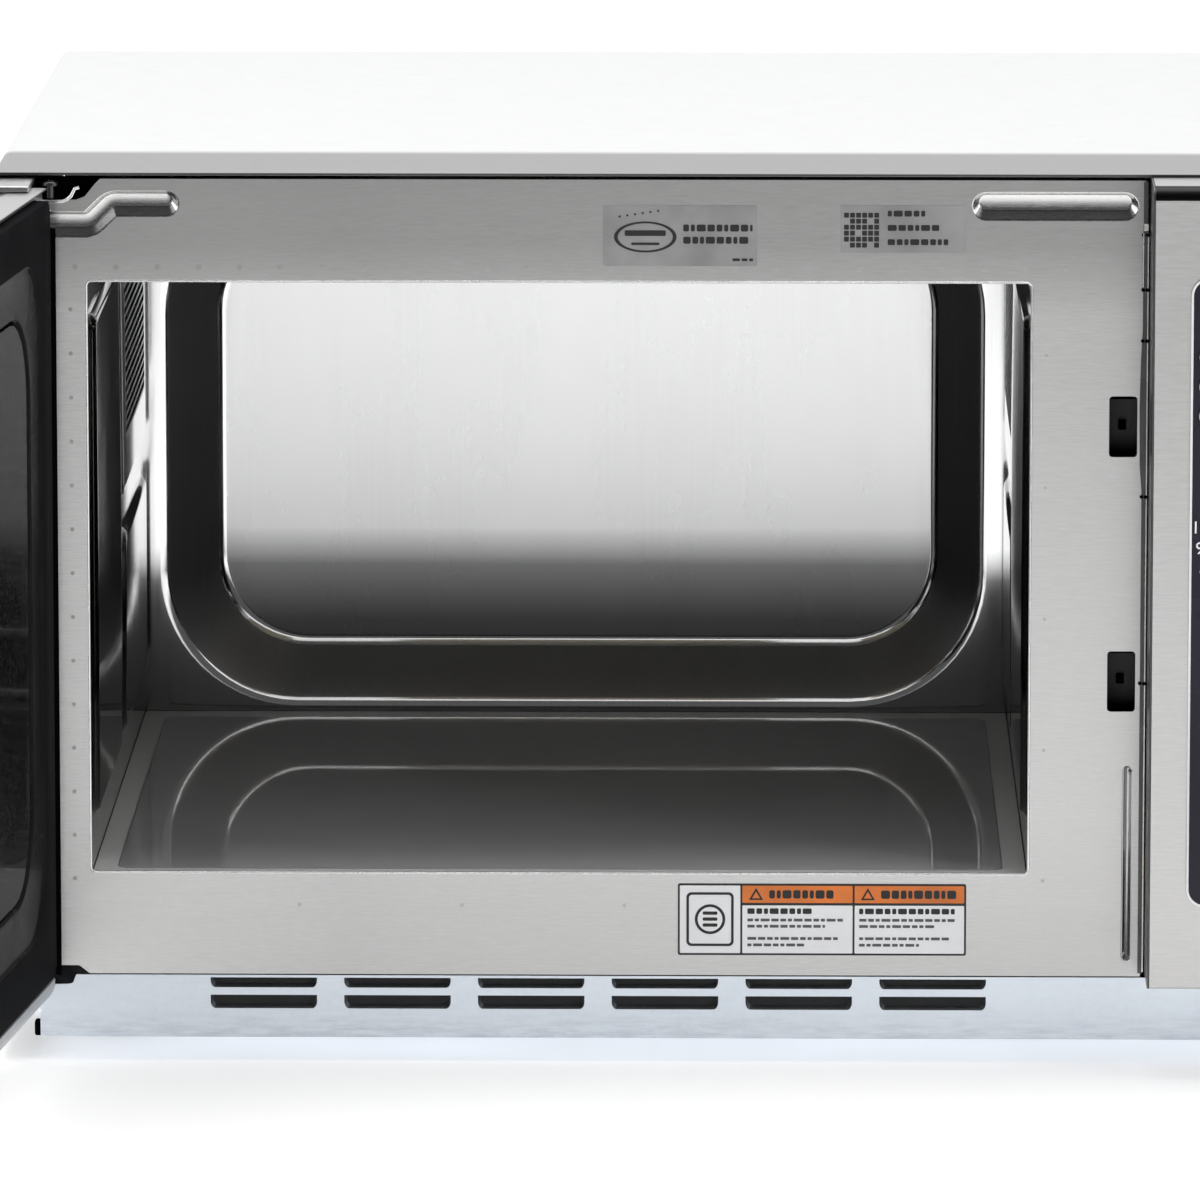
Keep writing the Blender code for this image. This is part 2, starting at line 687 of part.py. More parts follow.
def make_lamp(oven):
    """Oven lamp and its holder against the cavity's right wall, and the cavity's cut-out."""
    rod("oven_lamp", 7.0, 129.5, 148, "X", (300, 185), "white_plastic", oven, 16)
    holder = box("lamp_holder", (148.6, 288, 173), (166, 312, 197), "white_plastic", oven)
    cut(holder, rod("lamp_socket_cutter", 8.0, 140, 152, "X", (300, 185), None, oven, 16))
    box("thermal_cutout", (128, 330, 120), (136, 346, 136), "black_plastic", oven)


def make_hinges(oven):
    """The two brackets whose pins carry the door."""
    plate_low = DOOR_HIGH + 0.7
    upper = box("upper_hinge", (-277.5, -26, plate_low), (-262.5, 18, plate_low + 2.2), "zinc", oven)
    join(upper, rod("upper_pin_joiner", 4.0, 332, plate_low + 1, "Z", (HINGE_X, HINGE_Y), None, oven))
    lower = box("lower_hinge", (-277.5, -26, DOOR_LOW - 4.9), (-264.2, 18, DOOR_LOW - 2.1), "zinc", oven)
    join(lower, rod("lower_pin_joiner", 4.0, DOOR_LOW - 3, DOOR_LOW + 16, "Z",
                    (HINGE_X, HINGE_Y), None, oven))


FEET = {
    "foot_front_left": (-235.0, 62.0),
    "foot_front_right": (245.0, 62.0),
    "foot_rear_left": (-235.0, 375.0),
    "foot_rear_right": (245.0, 375.0),
}


def make_feet(oven):
    """Four rubber feet, each a short tapered disc."""
    top = FOOT_HEIGHT - GAP
    profile = [(0, top), (14, top), (14, top - 2), (12, 0), (0, 0)]
    for name, (x, y) in FEET.items():
        turned(name, profile, (x, y, 0.0), (0, 0, 0), "rubber", oven, 20)


# ---------------------------------------------------------------- controls

def make_control_panel(oven):
    """The stainless box that stands in front of the frame, with its bracket."""
    front = -PANEL_DEPTH
    wall = 1.2
    right = CASE_HALF
    panel = box("control_panel", (PANEL_LEFT, front, PANEL_LOW), (right, -0.6, PANEL_HIGH), "stainless", oven)
    soften(panel, 1.5, 2)
    inside = box("panel_cutter", (PANEL_LEFT + wall, front + wall, PANEL_LOW + wall),
                 (right - wall, 1, PANEL_HIGH - wall), None, oven)
    display = box("display_cutter", (191.5, front - 1, 136), (203.5, front + 3, 226), None, oven)
    keys = [rod(f"key_hole_{index}", KEY_RADIUS + 0.4, front - 2, front + 3, "Y",
                (KEY_X, height), None, oven, 20)
            for index, height in enumerate(KEY_HEIGHTS)]
    shaft = rod("dial_hole_cutter", 4.0, front - 2, front + 3, "Y", (KNOB_X, KNOB_Z), None, oven, 20)
    cut(panel, inside, display, shaft, *keys)
    window = rectangle(196, 95, 256, 175)
    high_window = rectangle(196, 195, 256, 275)
    edge = CASE_HALF - SHEET - GAP
    frame = rounded(FRAME_RIGHT + 2.0, FRAME_LOW, edge, FRAME_HIGH, 4.0, 3)
    slab("panel_bracket", [frame, window, high_window], "Y", 0.0, SHEET, "galvanised", oven)


def make_keypad(oven):
    """The dark overlay, with round holes for the keys and the dial's shaft."""
    face = -PANEL_DEPTH - GAP
    holes = [circle(KEY_X, height, KEY_RADIUS + 0.4, 20) for height in KEY_HEIGHTS]
    holes.append(circle(KNOB_X, KNOB_Z, 4.0, 20))
    outline = rounded(OVERLAY_LEFT, OVERLAY_LOW, OVERLAY_RIGHT, OVERLAY_HIGH, 7.0, 5)
    slab("keypad_overlay", [outline] + holes, "Y", face - 0.6, face, "overlay", oven)
    for index, height in enumerate(KEY_HEIGHTS):
        spot = pivot(f"key_guide_{index + 1}", (KEY_X, face, height), oven)
        rod(f"key_{index + 1}", KEY_RADIUS, face - 1.0, -26.6, "Y",
            (KEY_X, height), "black_plastic", spot, 20)


def make_dial(oven):
    """The timer's dial, and the encoder whose shaft it sits on."""
    foot = -PANEL_DEPTH - GAP - 1.2
    axis = pivot("dial_axis", (KNOB_X, foot, KNOB_Z), oven)
    height = 21.0
    profile = [(0, height), (18.5, height), (20.3, height - 1.8), (KNOB_RADIUS, 2.5), (KNOB_RADIUS, 0),
               (3.3, 0), (3.3, 12.5), (0, 12.5)]
    turned("dial_knob", profile, (KNOB_X, foot, KNOB_Z), (math.pi / 2, 0, 0), "black_plastic", axis, 32)
    body = box("dial_encoder", (KNOB_X - 9, -28, KNOB_Z - 9), (KNOB_X + 9, -14, KNOB_Z + 9), "zinc", oven)
    join(body, rod("dial_shaft_joiner", 3.0, foot - 12, -27, "Y", (KNOB_X, KNOB_Z), None, oven, 20))


def make_control_board(oven):
    """The board behind the overlay, with a relay, chips and a row of lamps."""
    board = box("control_board", (182, -25.2, 130), (270, -23.6, 326), "board", oven)
    lumps = [((212, -24, 150), (240, -12, 176)), ((246, -24, 190), (264, -8, 214)),
             ((210, -24, 220), (236, -20, 246)), ((214, -24, 290), (262, -10, 318))]
    lamps = [((196.5, -28, 143 + row * 8.2), (199.5, -24.5, 146 + row * 8.2)) for row in range(10)]
    join(board, blocks("board_lump_joiner", lumps + lamps, None, oven))


SWITCH_HEIGHTS = {"lower": 151.0, "upper": 252.0}


def make_interlock(oven):
    """The switches behind the latch slots, each with a sprung plunger."""
    board = box("latch_board", (156, 34.4, 132), (169, 37, 274), "black_plastic", oven)
    join(board, box("latch_side_joiner", (151.5, 3, 132), (154.5, 36.5, 274), None, oven),
         box("latch_web_joiner", (152, 34.5, 133), (157, 36.9, 273), None, oven))
    for name, height in SWITCH_HEIGHTS.items():
        body = box(f"{name}_switch", (156.5, 17, height - 10), (168.5, 34, height + 10),
                   "black_plastic", oven)
        pocket = ((161.2, 15, height - 2), (164.4, 22.5, height + 2))
        cut(body, box(f"{name}_pocket_cutter", *pocket, None, oven))
        guide = pivot(f"{name}_plunger_guide", (LATCH_X, 17, height), oven)
        box(f"{name}_plunger", (161.6, 13.6, height - 1.6), (164.0, 20.4, height + 1.6),
            "white_plastic", guide)


# ---------------------------------------------------------------- door

COVER_LEFT = -267.5
COVER_RIGHT = 157.0
COVER_LOW = 38.0
COVER_HIGH = 345.0
BUSH_RADIUS = 7.0


def make_door_skin(door):
    """The stainless outer pan, with the window and clearance round the hinges."""
    left, right = DOOR_LEFT, DOOR_RIGHT
    skin = box("door_skin", (left, DOOR_FACE, DOOR_LOW), (right, -6.5, DOOR_HIGH), "stainless", door)
    soften(skin, 1.5, 2)
    inside = box("skin_cutter", (left + SHEET, DOOR_FACE + SHEET, DOOR_LOW + SHEET),
                 (right - SHEET, 2, DOOR_HIGH - SHEET), None, door)
    window = slab("skin_window_cutter", [rounded(WINDOW_LEFT, WINDOW_LOW, WINDOW_RIGHT, WINDOW_HIGH, 14, 4)],
                  "Y", DOOR_FACE - 4, DOOR_FACE + 4, None, door)
    top = rod("top_bush_cutter", BUSH_RADIUS + 0.6, DOOR_HIGH - 4, DOOR_HIGH + 4, "Z",
              (HINGE_X, HINGE_Y), None, door)
    low = rod("low_bush_cutter", BUSH_RADIUS + 0.6, DOOR_LOW - 4, DOOR_LOW + 4, "Z",
              (HINGE_X, HINGE_Y), None, door)
    return cut(skin, inside, window, top, low)


def make_door_inside(door):
    """Choke plate, black cover and the inner glass, from the outside inwards."""
    window = rounded(WINDOW_LEFT, WINDOW_LOW, WINDOW_RIGHT, WINDOW_HIGH, 14, 5)
    plate = rounded(COVER_LEFT + 14, COVER_LOW + 1, COVER_RIGHT - 1, COVER_HIGH - 1, 3, 2)
    slab("door_inner_plate", [plate, window], "Y", -13.5, -10.0, "zinc", door)
    glass_hole = rounded(-226.0, 80.0, 113.0, 307.0, 35.0, 6)
    rim = rounded(COVER_LEFT, COVER_LOW, COVER_RIGHT, COVER_HIGH, 3, 2)
    cover = slab("choke_cover", [rim, glass_hole], "Y", -9.5, -1.0, "black_plastic", door)
    step = rounded(-246.0, 60.0, 136.0, 325.0, 31.0, 6)
    cut(cover, slab("cover_step_cutter", [step], "Y", -2.2, 1.0, None, door))
    slab("door_inner_glass", [rounded(-225.0, 81.0, 112.0, 306.0, 34.0, 6)], "Y", -8.2, -3.0,
         "dark_glass", door)
    slab("door_screen", [rounded(-214, 73, 101, 314, 12, 3)], "Y", -14.6, -13.9, "black_plastic", door)
    slab("door_outer_glass", [rounded(-214, 73, 101, 314, 10, 3)], "Y", -33.6, -30.0, "dark_glass", door)


def make_door_fittings(door):
    """Hinge bushes, handle, the sliding double hook and its spring."""
    ring = [circle(HINGE_X, HINGE_Y, BUSH_RADIUS, 20), circle(HINGE_X, HINGE_Y, 4.3, 20)]
    slab("lower_bush", ring, "Z", DOOR_LOW + 1.6, DOOR_LOW + 17, "white_plastic", door)
    slab("upper_bush", ring, "Z", DOOR_HIGH - 17, DOOR_HIGH - 1.4, "white_plastic", door)
    foot = DOOR_FACE - GAP
    line = [(HANDLE_X, foot, HANDLE_LOW)]
    corners = [(HANDLE_X, foot, HANDLE_LOW), (HANDLE_X, HANDLE_Y, HANDLE_LOW),
               (HANDLE_X, HANDLE_Y, HANDLE_HIGH),
               (HANDLE_X, foot, HANDLE_HIGH)]
    line += bend(*corners[:3], HANDLE_BEND)
    line += bend(*corners[1:], HANDLE_BEND)
    line.append(corners[3])
    pipe("door_handle", line, HANDLE_RADIUS, "stainless", door, 4)
    bar = box("door_latch", (160.3, -26, 132), (165.3, -17, 272), "zinc", door)
    for index, (low, high) in enumerate(LATCH_SLOTS):
        shank = box(f"hook_shank_{index}", (160.3, -20, low + 6.4), (165.3, 12, high - 6.4), None, door)
        tip = box(f"hook_tip_{index}", (160.3, 4, low + 0.8), (165.3, 12, high - 7.0), None, door)
        join(bar, shank, tip)
    coil = []
    turns = 6
    per_turn = 10
    spring_low = 272.6
    pitch = 4.0
    for index in range(turns * per_turn + 1):
        angle = 2 * math.pi * index / per_turn
        coil.append((LATCH_X + 3 * math.cos(angle), -21.5 + 3 * math.sin(angle),
                     spring_low + 0.5 + pitch * index / per_turn))
    pipe("latch_spring", coil, 0.5, "zinc", door, 1)


# ---------------------------------------------------------------- assembly

def build():
    """Make every piece and swing the door open."""
    oven = pivot("oven_origin", (0.0, 0.0, 0.0))
    door = pivot("door_axis", (HINGE_X, HINGE_Y, 0.0), oven)
    for make in (make_base_plate, make_outer_case, make_back_panel, make_cord_gland, make_front_frame,
                 make_cavity_shell, make_cavity_back, make_floor, make_stirrer, make_microwave_source,
                 make_power_supply, make_cooling, make_lamp, make_hinges, make_feet, make_control_panel,
                 make_keypad, make_dial, make_control_board, make_interlock):
        make(oven)
    for make in (make_door_skin, make_door_inside, make_door_fittings):
        make(door)
    door.rotation_euler = (0.0, 0.0, -math.radians(OPEN_ANGLE))
    oven.location = (CABINET_X * MM, CABINET_Y * MM, 0.0)


clear_scene()
PARTS = collection("microwave_oven")
CUTTERS = collection("cutters")
build()
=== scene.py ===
"""The looks of the stainless countertop microwave oven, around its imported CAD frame.

Lengths in the piece functions are in millimetres in the cabinet's own frame: X = 0 in the
middle of the case, Y = 0 on the front frame's face with +Y backwards, Z = 0 on the floor.
Door pieces are drawn shut and then swung to the door's stored angle.
"""
import json
import math

import bmesh
import bpy
from mathutils import Matrix, Vector


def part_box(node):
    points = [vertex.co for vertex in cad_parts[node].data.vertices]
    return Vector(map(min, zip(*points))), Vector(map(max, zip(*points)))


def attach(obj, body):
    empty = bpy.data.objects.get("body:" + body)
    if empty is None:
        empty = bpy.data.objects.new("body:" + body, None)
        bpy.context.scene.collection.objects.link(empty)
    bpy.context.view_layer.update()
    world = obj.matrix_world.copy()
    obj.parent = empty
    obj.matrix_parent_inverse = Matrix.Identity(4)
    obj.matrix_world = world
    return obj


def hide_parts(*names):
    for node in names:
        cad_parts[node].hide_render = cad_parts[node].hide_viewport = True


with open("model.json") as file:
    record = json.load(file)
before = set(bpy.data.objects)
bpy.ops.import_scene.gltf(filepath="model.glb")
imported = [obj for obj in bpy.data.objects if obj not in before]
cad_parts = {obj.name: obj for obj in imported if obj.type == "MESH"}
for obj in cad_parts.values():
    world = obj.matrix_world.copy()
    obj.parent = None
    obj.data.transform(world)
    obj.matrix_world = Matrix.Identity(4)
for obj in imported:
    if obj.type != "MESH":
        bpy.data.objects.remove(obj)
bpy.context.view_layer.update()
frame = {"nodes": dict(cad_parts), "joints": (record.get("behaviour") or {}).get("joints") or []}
NODES = frame["nodes"]

MM = 0.001
CASE_LOW, CASE_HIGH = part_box("outer_case")
ORIGIN = Vector(((CASE_LOW.x + CASE_HIGH.x) / 2, CASE_LOW.y, 0.0))
HINGE = next(joint for joint in frame["joints"] if joint["name"] == "door_hinge")
PIVOT = Vector(HINGE["pos_m"])
SWING = (Matrix.Translation(PIVOT) @ Matrix.Rotation(-math.radians(HINGE["range_deg"][1]), 4, "Z")
         @ Matrix.Translation(-PIVOT))


def span(node):
    """A fixed node's low and high corners in the cabinet's frame, in millimetres."""
    low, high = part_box(node)
    return (low - ORIGIN) / MM, (high - ORIGIN) / MM


# ---------------------------------------------------------------- material helpers

# Every material by its name, filled as they are made.
FINISH = {}


def join(tree, value, target):
    """Give a socket an output, a number or a colour."""
    if isinstance(value, bpy.types.NodeSocket):
        tree.links.new(value, target)
    elif target.type == "RGBA":
        target.default_value = (*value, 1.0)
    else:
        target.default_value = value


def feed(tree, node, **sockets):
    """Give each of a node's sockets, by its name, an output, a number or a colour."""
    for name, value in sockets.items():
        join(tree, value, node.inputs[name.replace("_", " ")])


def add_node(tree, kind, **sockets):
    """A new node with its sockets fed."""
    made = tree.nodes.new("ShaderNode" + kind)
    feed(tree, made, **sockets)
    return made


class Shader:
    """A Principled material whose nodes are added one at a time."""

    def __init__(self, name, colour, roughness, metallic=0.0, **sockets):
        self.material = bpy.data.materials.new(name)
        self.material.use_nodes = True
        self.tree = self.material.node_tree
        FINISH[name] = self.material
        self.set(Base_Color=colour, Roughness=roughness, Metallic=metallic, **sockets)
        self.place = self.node("TexCoord").outputs["Object"]

    def set(self, **sockets):
        """Feed the shader's own sockets."""
        feed(self.tree, self.tree.nodes["Principled BSDF"], **sockets)

    def node(self, kind, **sockets):
        """A new node of the material."""
        return add_node(self.tree, kind, **sockets)

    def scaled(self, scale, turn=(0.0, 0.0, 0.0)):
        """Object coordinates, turned and stretched."""
        return self.node("Mapping", Vector=self.place, Scale=scale, Rotation=turn).outputs["Vector"]

    def noise(self, scale, detail=2.0, roughness=0.5, turn=(0.0, 0.0, 0.0)):
        """A noise texture's value, scale periods to the metre along each axis."""
        where = self.scaled(scale, turn)
        made = self.node("TexNoise", Vector=where, Scale=1.0, Detail=detail, Roughness=roughness)
        return made.outputs["Fac"]

    def cells(self, scale):
        """A cell texture's distance."""
        return self.node("TexVoronoi", Vector=self.scaled(scale), Scale=1.0).outputs["Distance"]

    def remap(self, value, low, high, to_low=0.0, to_high=1.0):
        """A value stretched from one range to another, clamped."""
        made = self.node("MapRange", Value=value, From_Min=low, From_Max=high, To_Min=to_low, To_Max=to_high)
        return made.outputs["Result"]

    def maths(self, operation, first, second):
        """Two values combined; either may be a number."""
        made = self.node("Math")
        made.operation = operation
        join(self.tree, first, made.inputs[0])
        join(self.tree, second, made.inputs[1])
        return made.outputs["Value"]

    def mix(self, factor, first, second):
        """Two colours mixed by a value; either may be an output."""
        made = self.node("Mix")
        made.data_type = "RGBA"
        join(self.tree, factor, made.inputs["Factor"])
        for socket, value in (("A", first), ("B", second)):
            join(self.tree, value, next(s for s in made.inputs if s.name == socket and s.type == "RGBA"))
        return next(s for s in made.outputs if s.type == "RGBA")

    def clouded(self, grain, colour, dark, light):
        """A colour from dark to light along a grain's value, with soft blotches."""
        cloud = self.noise((9.0, 9.0, 9.0), 3.0, 0.55)
        grainy = self.mix(self.remap(grain, 0.32, 0.68), shade(colour, dark), shade(colour, light))
        return self.mix(self.remap(cloud, 0.35, 0.7, 0.0, 0.10), grainy, shade(colour, 0.8))

    def separate(self, axis):
        """One of the object coordinates."""
        return self.node("SeparateXYZ", Vector=self.place).outputs[axis]

    def bump(self, height, strength, distance=0.0001):
        """Surface relief from a value."""
        made = self.node("Bump", Height=height, Strength=strength, Distance=distance)
        self.set(Normal=made.outputs["Normal"])


def shade(colour, factor):
    """A colour made lighter or darker."""
    return tuple(min(1.0, part * factor) for part in colour)


def grained(grain, along, across):
    """Noise scales for streaks that run along an axis."""
    return tuple(along if axis == grain else across for axis in "XYZ")


def brushed(name, colour, roughness, grain="X", streak=0.10, painted_darkening=()):
    """Brushed sheet: long fine streaks, soft blotches and uneven gloss.

    Each (axis, low, high, share) entry of the last argument is painted shade: it takes the colour down
    by that share between two places in metres.
    """
    made = Shader(name, colour, roughness, 1.0)
    streaks = made.noise(grained(grain, 140.0, 1700.0), 3.0, 0.6)
    bands = made.noise(grained(grain, 6.0, 260.0), 2.0, 0.5)
    both = made.maths("ADD", made.maths("MULTIPLY", streaks, 0.80), made.maths("MULTIPLY", bands, 0.20))
    toned = made.clouded(both, colour, 1 - streak, 1 + streak * 0.6)
    # Painted shade: the colour darkens between the given places.
    for axis, low, high, share in painted_darkening:
        level = made.remap(made.separate(axis), low, high, 0.0, share)
        toned = made.mix(level, toned, shade(colour, 0.06))
    made.set(Base_Color=toned)
    made.set(Roughness=made.remap(both, 0.3, 0.7, roughness - 0.05, roughness + 0.07))
    made.bump(both, 0.10)


def painted_sheen_steel(name, colour, roughness, low, high):
    """Brushed sheet whose top, behind a front band, has a near-white reflection painted in at a grazing
    angle.

    The band ends between low and high, two depths in metres. The sides have painted shade that
    makes them a little darker than the top.
    """
    made = Shader(name, colour, roughness, 1.0)
    streaks = made.noise(grained("X", 70.0, 1500.0), 3.0, 0.6)
    grainy = made.clouded(streaks, colour, 0.93, 1.04)
    under, over = 0.3500, 0.3510
    # Painted shade: everything below the top is darker.
    sides = made.remap(made.separate("Z"), over, under, 0.0, 0.34)
    toned = made.mix(sides, grainy, shade(colour, 0.06))
    top = made.remap(made.separate("Z"), under, over)
    rear = made.maths("MULTIPLY", made.remap(made.separate("Y"), low, high), top)
    # Painted reflection: the rear of the top is mixed towards near-white at a grazing angle.
    facing = made.node("LayerWeight").outputs["Facing"]
    grazing = made.maths("MULTIPLY", made.remap(facing, 0.76, 0.86), rear)
    made.set(Base_Color=made.mix(grazing, toned, (0.99, 0.99, 0.99)))
    made.set(Roughness=made.remap(streaks, 0.3, 0.7, roughness - 0.04, roughness + 0.05))


def polished(name, colour, roughness, waviness=0.05, painted_darkening=(), patchy=1.0):
    """Bright rolled sheet with a faint grain and shallow waves, with painted shade between given heights."""
    made = Shader(name, colour, roughness, 1.0)
    grain = made.noise((900.0, 900.0, 18.0), 2.0, 0.5)
    waves = made.noise((7.0, 7.0, 7.0), 1.0, 0.4)
    smears = made.noise((30.0, 30.0, 12.0), 4.0, 0.6, (0.3, 0.2, 0.5))
    dark, light = shade(colour, 1 - 0.04 * patchy), shade(colour, 1 + 0.03 * patchy)
    tone = made.mix(made.remap(grain, 0.3, 0.7), dark, light)
    # Painted shade: the colour darkens between the given heights.
    for low, high, share in painted_darkening:
        level = made.remap(made.separate("Z"), low, high, 0.0, share)
        tone = made.mix(level, tone, shade(colour, 0.03))
    made.set(Base_Color=tone)
    made.set(Roughness=made.remap(smears, 0.2, 0.8, roughness - 0.01 * patchy, roughness + 0.03 * patchy))
    made.bump(waves, waviness, 0.002)


def galvanised(name, colour):
    """Zinc coating with faint flecks, darker and blotchy towards its lower edge."""
    made = Shader(name, colour, 0.36, 0.9)
    cloud = made.noise((14.0, 60.0, 60.0), 4.0, 0.62)
    fleck = made.noise((420.0, 420.0, 420.0), 3.0, 0.6)
    smear = made.noise((55.0, 300.0, 420.0), 4.0, 0.7)
    low = made.remap(made.separate("Z"), 0.010, 0.021, 1.0, 0.0)
    lower_darkening = made.maths("MULTIPLY", made.remap(smear, 0.42, 0.66, 0.0, 0.42), low)
    clean = made.mix(made.remap(cloud, 0.35, 0.7), shade(colour, 0.93), shade(colour, 1.06))
    flecked = made.mix(made.remap(fleck, 0.5, 0.75, 0.0, 0.18), clean, shade(colour, 0.78))
    made.set(Base_Color=made.mix(lower_darkening, flecked, (0.42, 0.43, 0.50)))
    made.set(Roughness=made.remap(cloud, 0.3, 0.7, 0.34, 0.52))
    made.bump(fleck, 0.06)


def plated(name, colour=(0.66, 0.66, 0.65), roughness=0.26):
    """Zinc-plated steel with slight mottling and scuffs."""
    made = Shader(name, colour, roughness, 1.0)
    mottle = made.noise((160.0, 160.0, 160.0), 3.0, 0.6)
    scuffs = made.noise((700.0, 90.0, 90.0), 2.0, 0.5, (0.4, 0.7, 0.2))
    patches = made.remap(mottle, 0.35, 0.7)
    made.set(Base_Color=made.mix(patches, shade(colour, 0.92), shade(colour, 1.05)))
    made.set(Roughness=made.remap(scuffs, 0.4, 0.7, roughness - 0.03, roughness + 0.10))
    made.bump(scuffs, 0.08)


def moulded(name, colour, roughness, grit=0.12, scale=1400.0, mottle=0.18, **sockets):
    """Moulded plastic with a fine spark-eroded texture."""
    made = Shader(name, colour, roughness, 0.0, **sockets)
    fine = made.noise((scale, scale, scale), 2.0, 0.6)
    soft = made.noise((40.0, 40.0, 40.0), 3.0, 0.5)
    patches = made.remap(soft, 0.35, 0.7)
    made.set(Base_Color=made.mix(patches, shade(colour, 1 - mottle), shade(colour, 1 + mottle)))
    glossy, dull = max(roughness - mottle * 0.3, 0.02), roughness + mottle * 0.4
    made.set(Roughness=made.remap(soft, 0.3, 0.7, glossy, dull))
    made.bump(fine, grit)


def dotted_glass(name):
    """Dark glass in front of a metal screen with fine holes."""
    made = Shader(name, (0.010, 0.010, 0.011), 0.06, IOR=1.045)
    cells = made.cells((620.0, 620.0, 620.0))
    smears = made.noise((24.0, 24.0, 16.0), 4.0, 0.6, (0.2, 0.5, 0.1))
    holes = made.remap(cells, 0.25, 0.45, 1.0, 0.0)
    made.set(Base_Color=made.mix(holes, (0.004, 0.004, 0.004), (0.030, 0.030, 0.032)))
    made.set(Roughness=made.remap(smears, 0.35, 0.75, 0.04, 0.12))


# ---------------------------------------------------------------- finishes

STEEL = (0.64, 0.635, 0.63)
# Painted reflection of the dark floor: the cavity's back panel darkens towards its bottom.
PANEL_PAINTED_REFLECTION = [(0.152, 0.136, 0.68), (0.140, 0.112, 0.70)]
# Painted shade on the front sheet: darker top strip, darker part right of the hinge side, darker bottom.
FRONT_PAINTED_SHADE = [("Z", 0.296, 0.324, 0.32), ("X", -0.200, -0.100, 0.20), ("Z", 0.10, 0.06, 0.05)]


def make_finishes():
    """Every finish, kept by its name."""
    brushed("front_steel", shade(STEEL, 1.11), 0.34, "X", 0.11, painted_darkening=FRONT_PAINTED_SHADE)
    brushed("panel_front", shade(STEEL, 0.88), 0.34, "X", 0.10)
    # A darker copy of the steel: painted shade on the door's skin.
    brushed("door_steel_painted_shade", shade(STEEL, 0.68), 0.36, "X", 0.10)
    # Near-black steel: painted shade on the control panel's top bend.
    brushed("bend_painted_shade_steel", (0.020, 0.0196, 0.0194), 0.30, "X", 0.13)
    plated("lip_steel", (0.92, 0.92, 0.92), 0.25)
    brushed("rib_steel", shade(STEEL, 1.08), 0.24, "X", 0.05)
    painted_sheen_steel("case_steel", shade(STEEL, 0.60), 0.30, 0.0775, 0.0875)
    brushed("side_steel", STEEL, 0.32, "Y", 0.08)
    brushed("upright_steel", STEEL, 0.32, "Z", 0.08)
    polished("cavity_steel", (0.66, 0.655, 0.65), 0.13)
    polished("rim_steel", (0.78, 0.78, 0.78), 0.09)
    # Painted shade: the rim's field and the side walls darken towards the bottom.
    polished("rim_field", (0.78, 0.78, 0.78), 0.09, 0.05, [(0.146, 0.132, 0.60)])
    polished("wall_steel", (0.46, 0.46, 0.46), 0.06, 0.05, [(0.215, 0.15, 0.7)])
    polished("panel_steel", (0.84, 0.84, 0.845), 0.27, 0.0, PANEL_PAINTED_REFLECTION, 0.3)
    # Dark copy of the cavity steel: painted shade on the dish's sloping band.
    polished("band_painted_shade_steel", (0.32, 0.32, 0.324), 0.36)
    brushed("weld_steel", (0.48, 0.478, 0.475), 0.40, "X")
    # Near-black that paints the shade in holes, slots and gaps; also the base's corner plug.
    moulded("hole_black", (0.003, 0.003, 0.003), 0.7, 0.05, IOR=1.02)
    galvanised("galvanised", (0.79, 0.85, 0.92))
    galvanised("back_zinc", (0.43, 0.45, 0.47))
    plated("zinc")
    plated("aluminium", (0.74, 0.74, 0.75), 0.34)
    plated("lamination", (0.24, 0.23, 0.22), 0.5)
    plated("copper", (0.66, 0.32, 0.16), 0.35)
    moulded("black", (0.020, 0.020, 0.022), 0.30)
    moulded("soft_black", (0.030, 0.030, 0.031), 0.48, 0.2, 900.0)
    moulded("dial_black", (0.024, 0.024, 0.026), 0.26, 0.06)
    moulded("rubber", (0.022, 0.022, 0.022), 0.78, 0.3, 700.0)
    moulded("white", (0.74, 0.73, 0.70), 0.45)
    moulded("mica", (0.62, 0.56, 0.44), 0.62, 0.3, 500.0)
    moulded("board", (0.03, 0.16, 0.06), 0.45)
    moulded("foam", (0.030, 0.030, 0.032), 0.9, 0.8, 500.0)
    moulded("shelf", (0.60, 0.60, 0.605), 0.03, 0.0, 300.0, 0.02, IOR=1.8)
    moulded("seal", (0.96, 0.96, 0.95), 0.40, 0.05, 300.0, 0.03, IOR=1.6)
    moulded("overlay", (0.021, 0.018, 0.030), 0.26, 0.05, 1200.0, Specular_IOR_Level=0.2)
    moulded("cover_black", (0.011, 0.011, 0.012), 0.40, 0.06, 900.0, IOR=1.012)
    moulded("step_black", (0.014, 0.014, 0.015), 0.22, 0.04, 900.0, IOR=1.05)
    # Dark steel of painted shade: gap strip, panel cheeks, hinge screw and the wrap's edge strip.
    plated("gap_steel", (0.10, 0.10, 0.10), 0.35)
    # Dark steel that paints the shade on the louvres' inward lips.
    plated("louvre_steel", (0.22, 0.23, 0.245), 0.42)
    brushed("hem_steel", (0.42, 0.42, 0.42), 0.34, "Z", 0.06)
    plated("bright_zinc", (0.94, 0.94, 0.94), 0.2)
    brushed("top_steel", (0.56, 0.56, 0.56), 0.36, "X", 0.07)
    # Dark steel: painted shade on the ribs' upward-facing slopes.
    brushed("rib_shade", (0.20, 0.20, 0.20), 0.26, "X", 0.05)
    # Dark copy of the wall steel: painted shade on the left wall's main field.
    polished("wall_painted_shade", (0.17, 0.17, 0.17), 0.05)
    polished("vent_steel", (0.16, 0.16, 0.165), 0.20)
    moulded("film", (0.33, 0.33, 0.33), 0.22, 0.02)
    moulded("paper", (0.96, 0.965, 0.98), 0.5, 0.03, 1400.0, 0.02)
    moulded("ink_black", (0.012, 0.012, 0.012), 0.45, 0.02)
    moulded("key_face", (0.74, 0.76, 0.80), 0.35, 0.03)
    dotted_glass("glass_dots")
    moulded("ink_white", (0.93, 0.93, 0.95), 0.4, 0.02, 1400.0, 0.03)
    moulded("ink_green", (0.05, 0.50, 0.34), 0.4, 0.02)
    moulded("ink_orange", (0.78, 0.20, 0.03), 0.42, 0.02)
    moulded("ink_grey", (0.10, 0.10, 0.10), 0.5, 0.02)


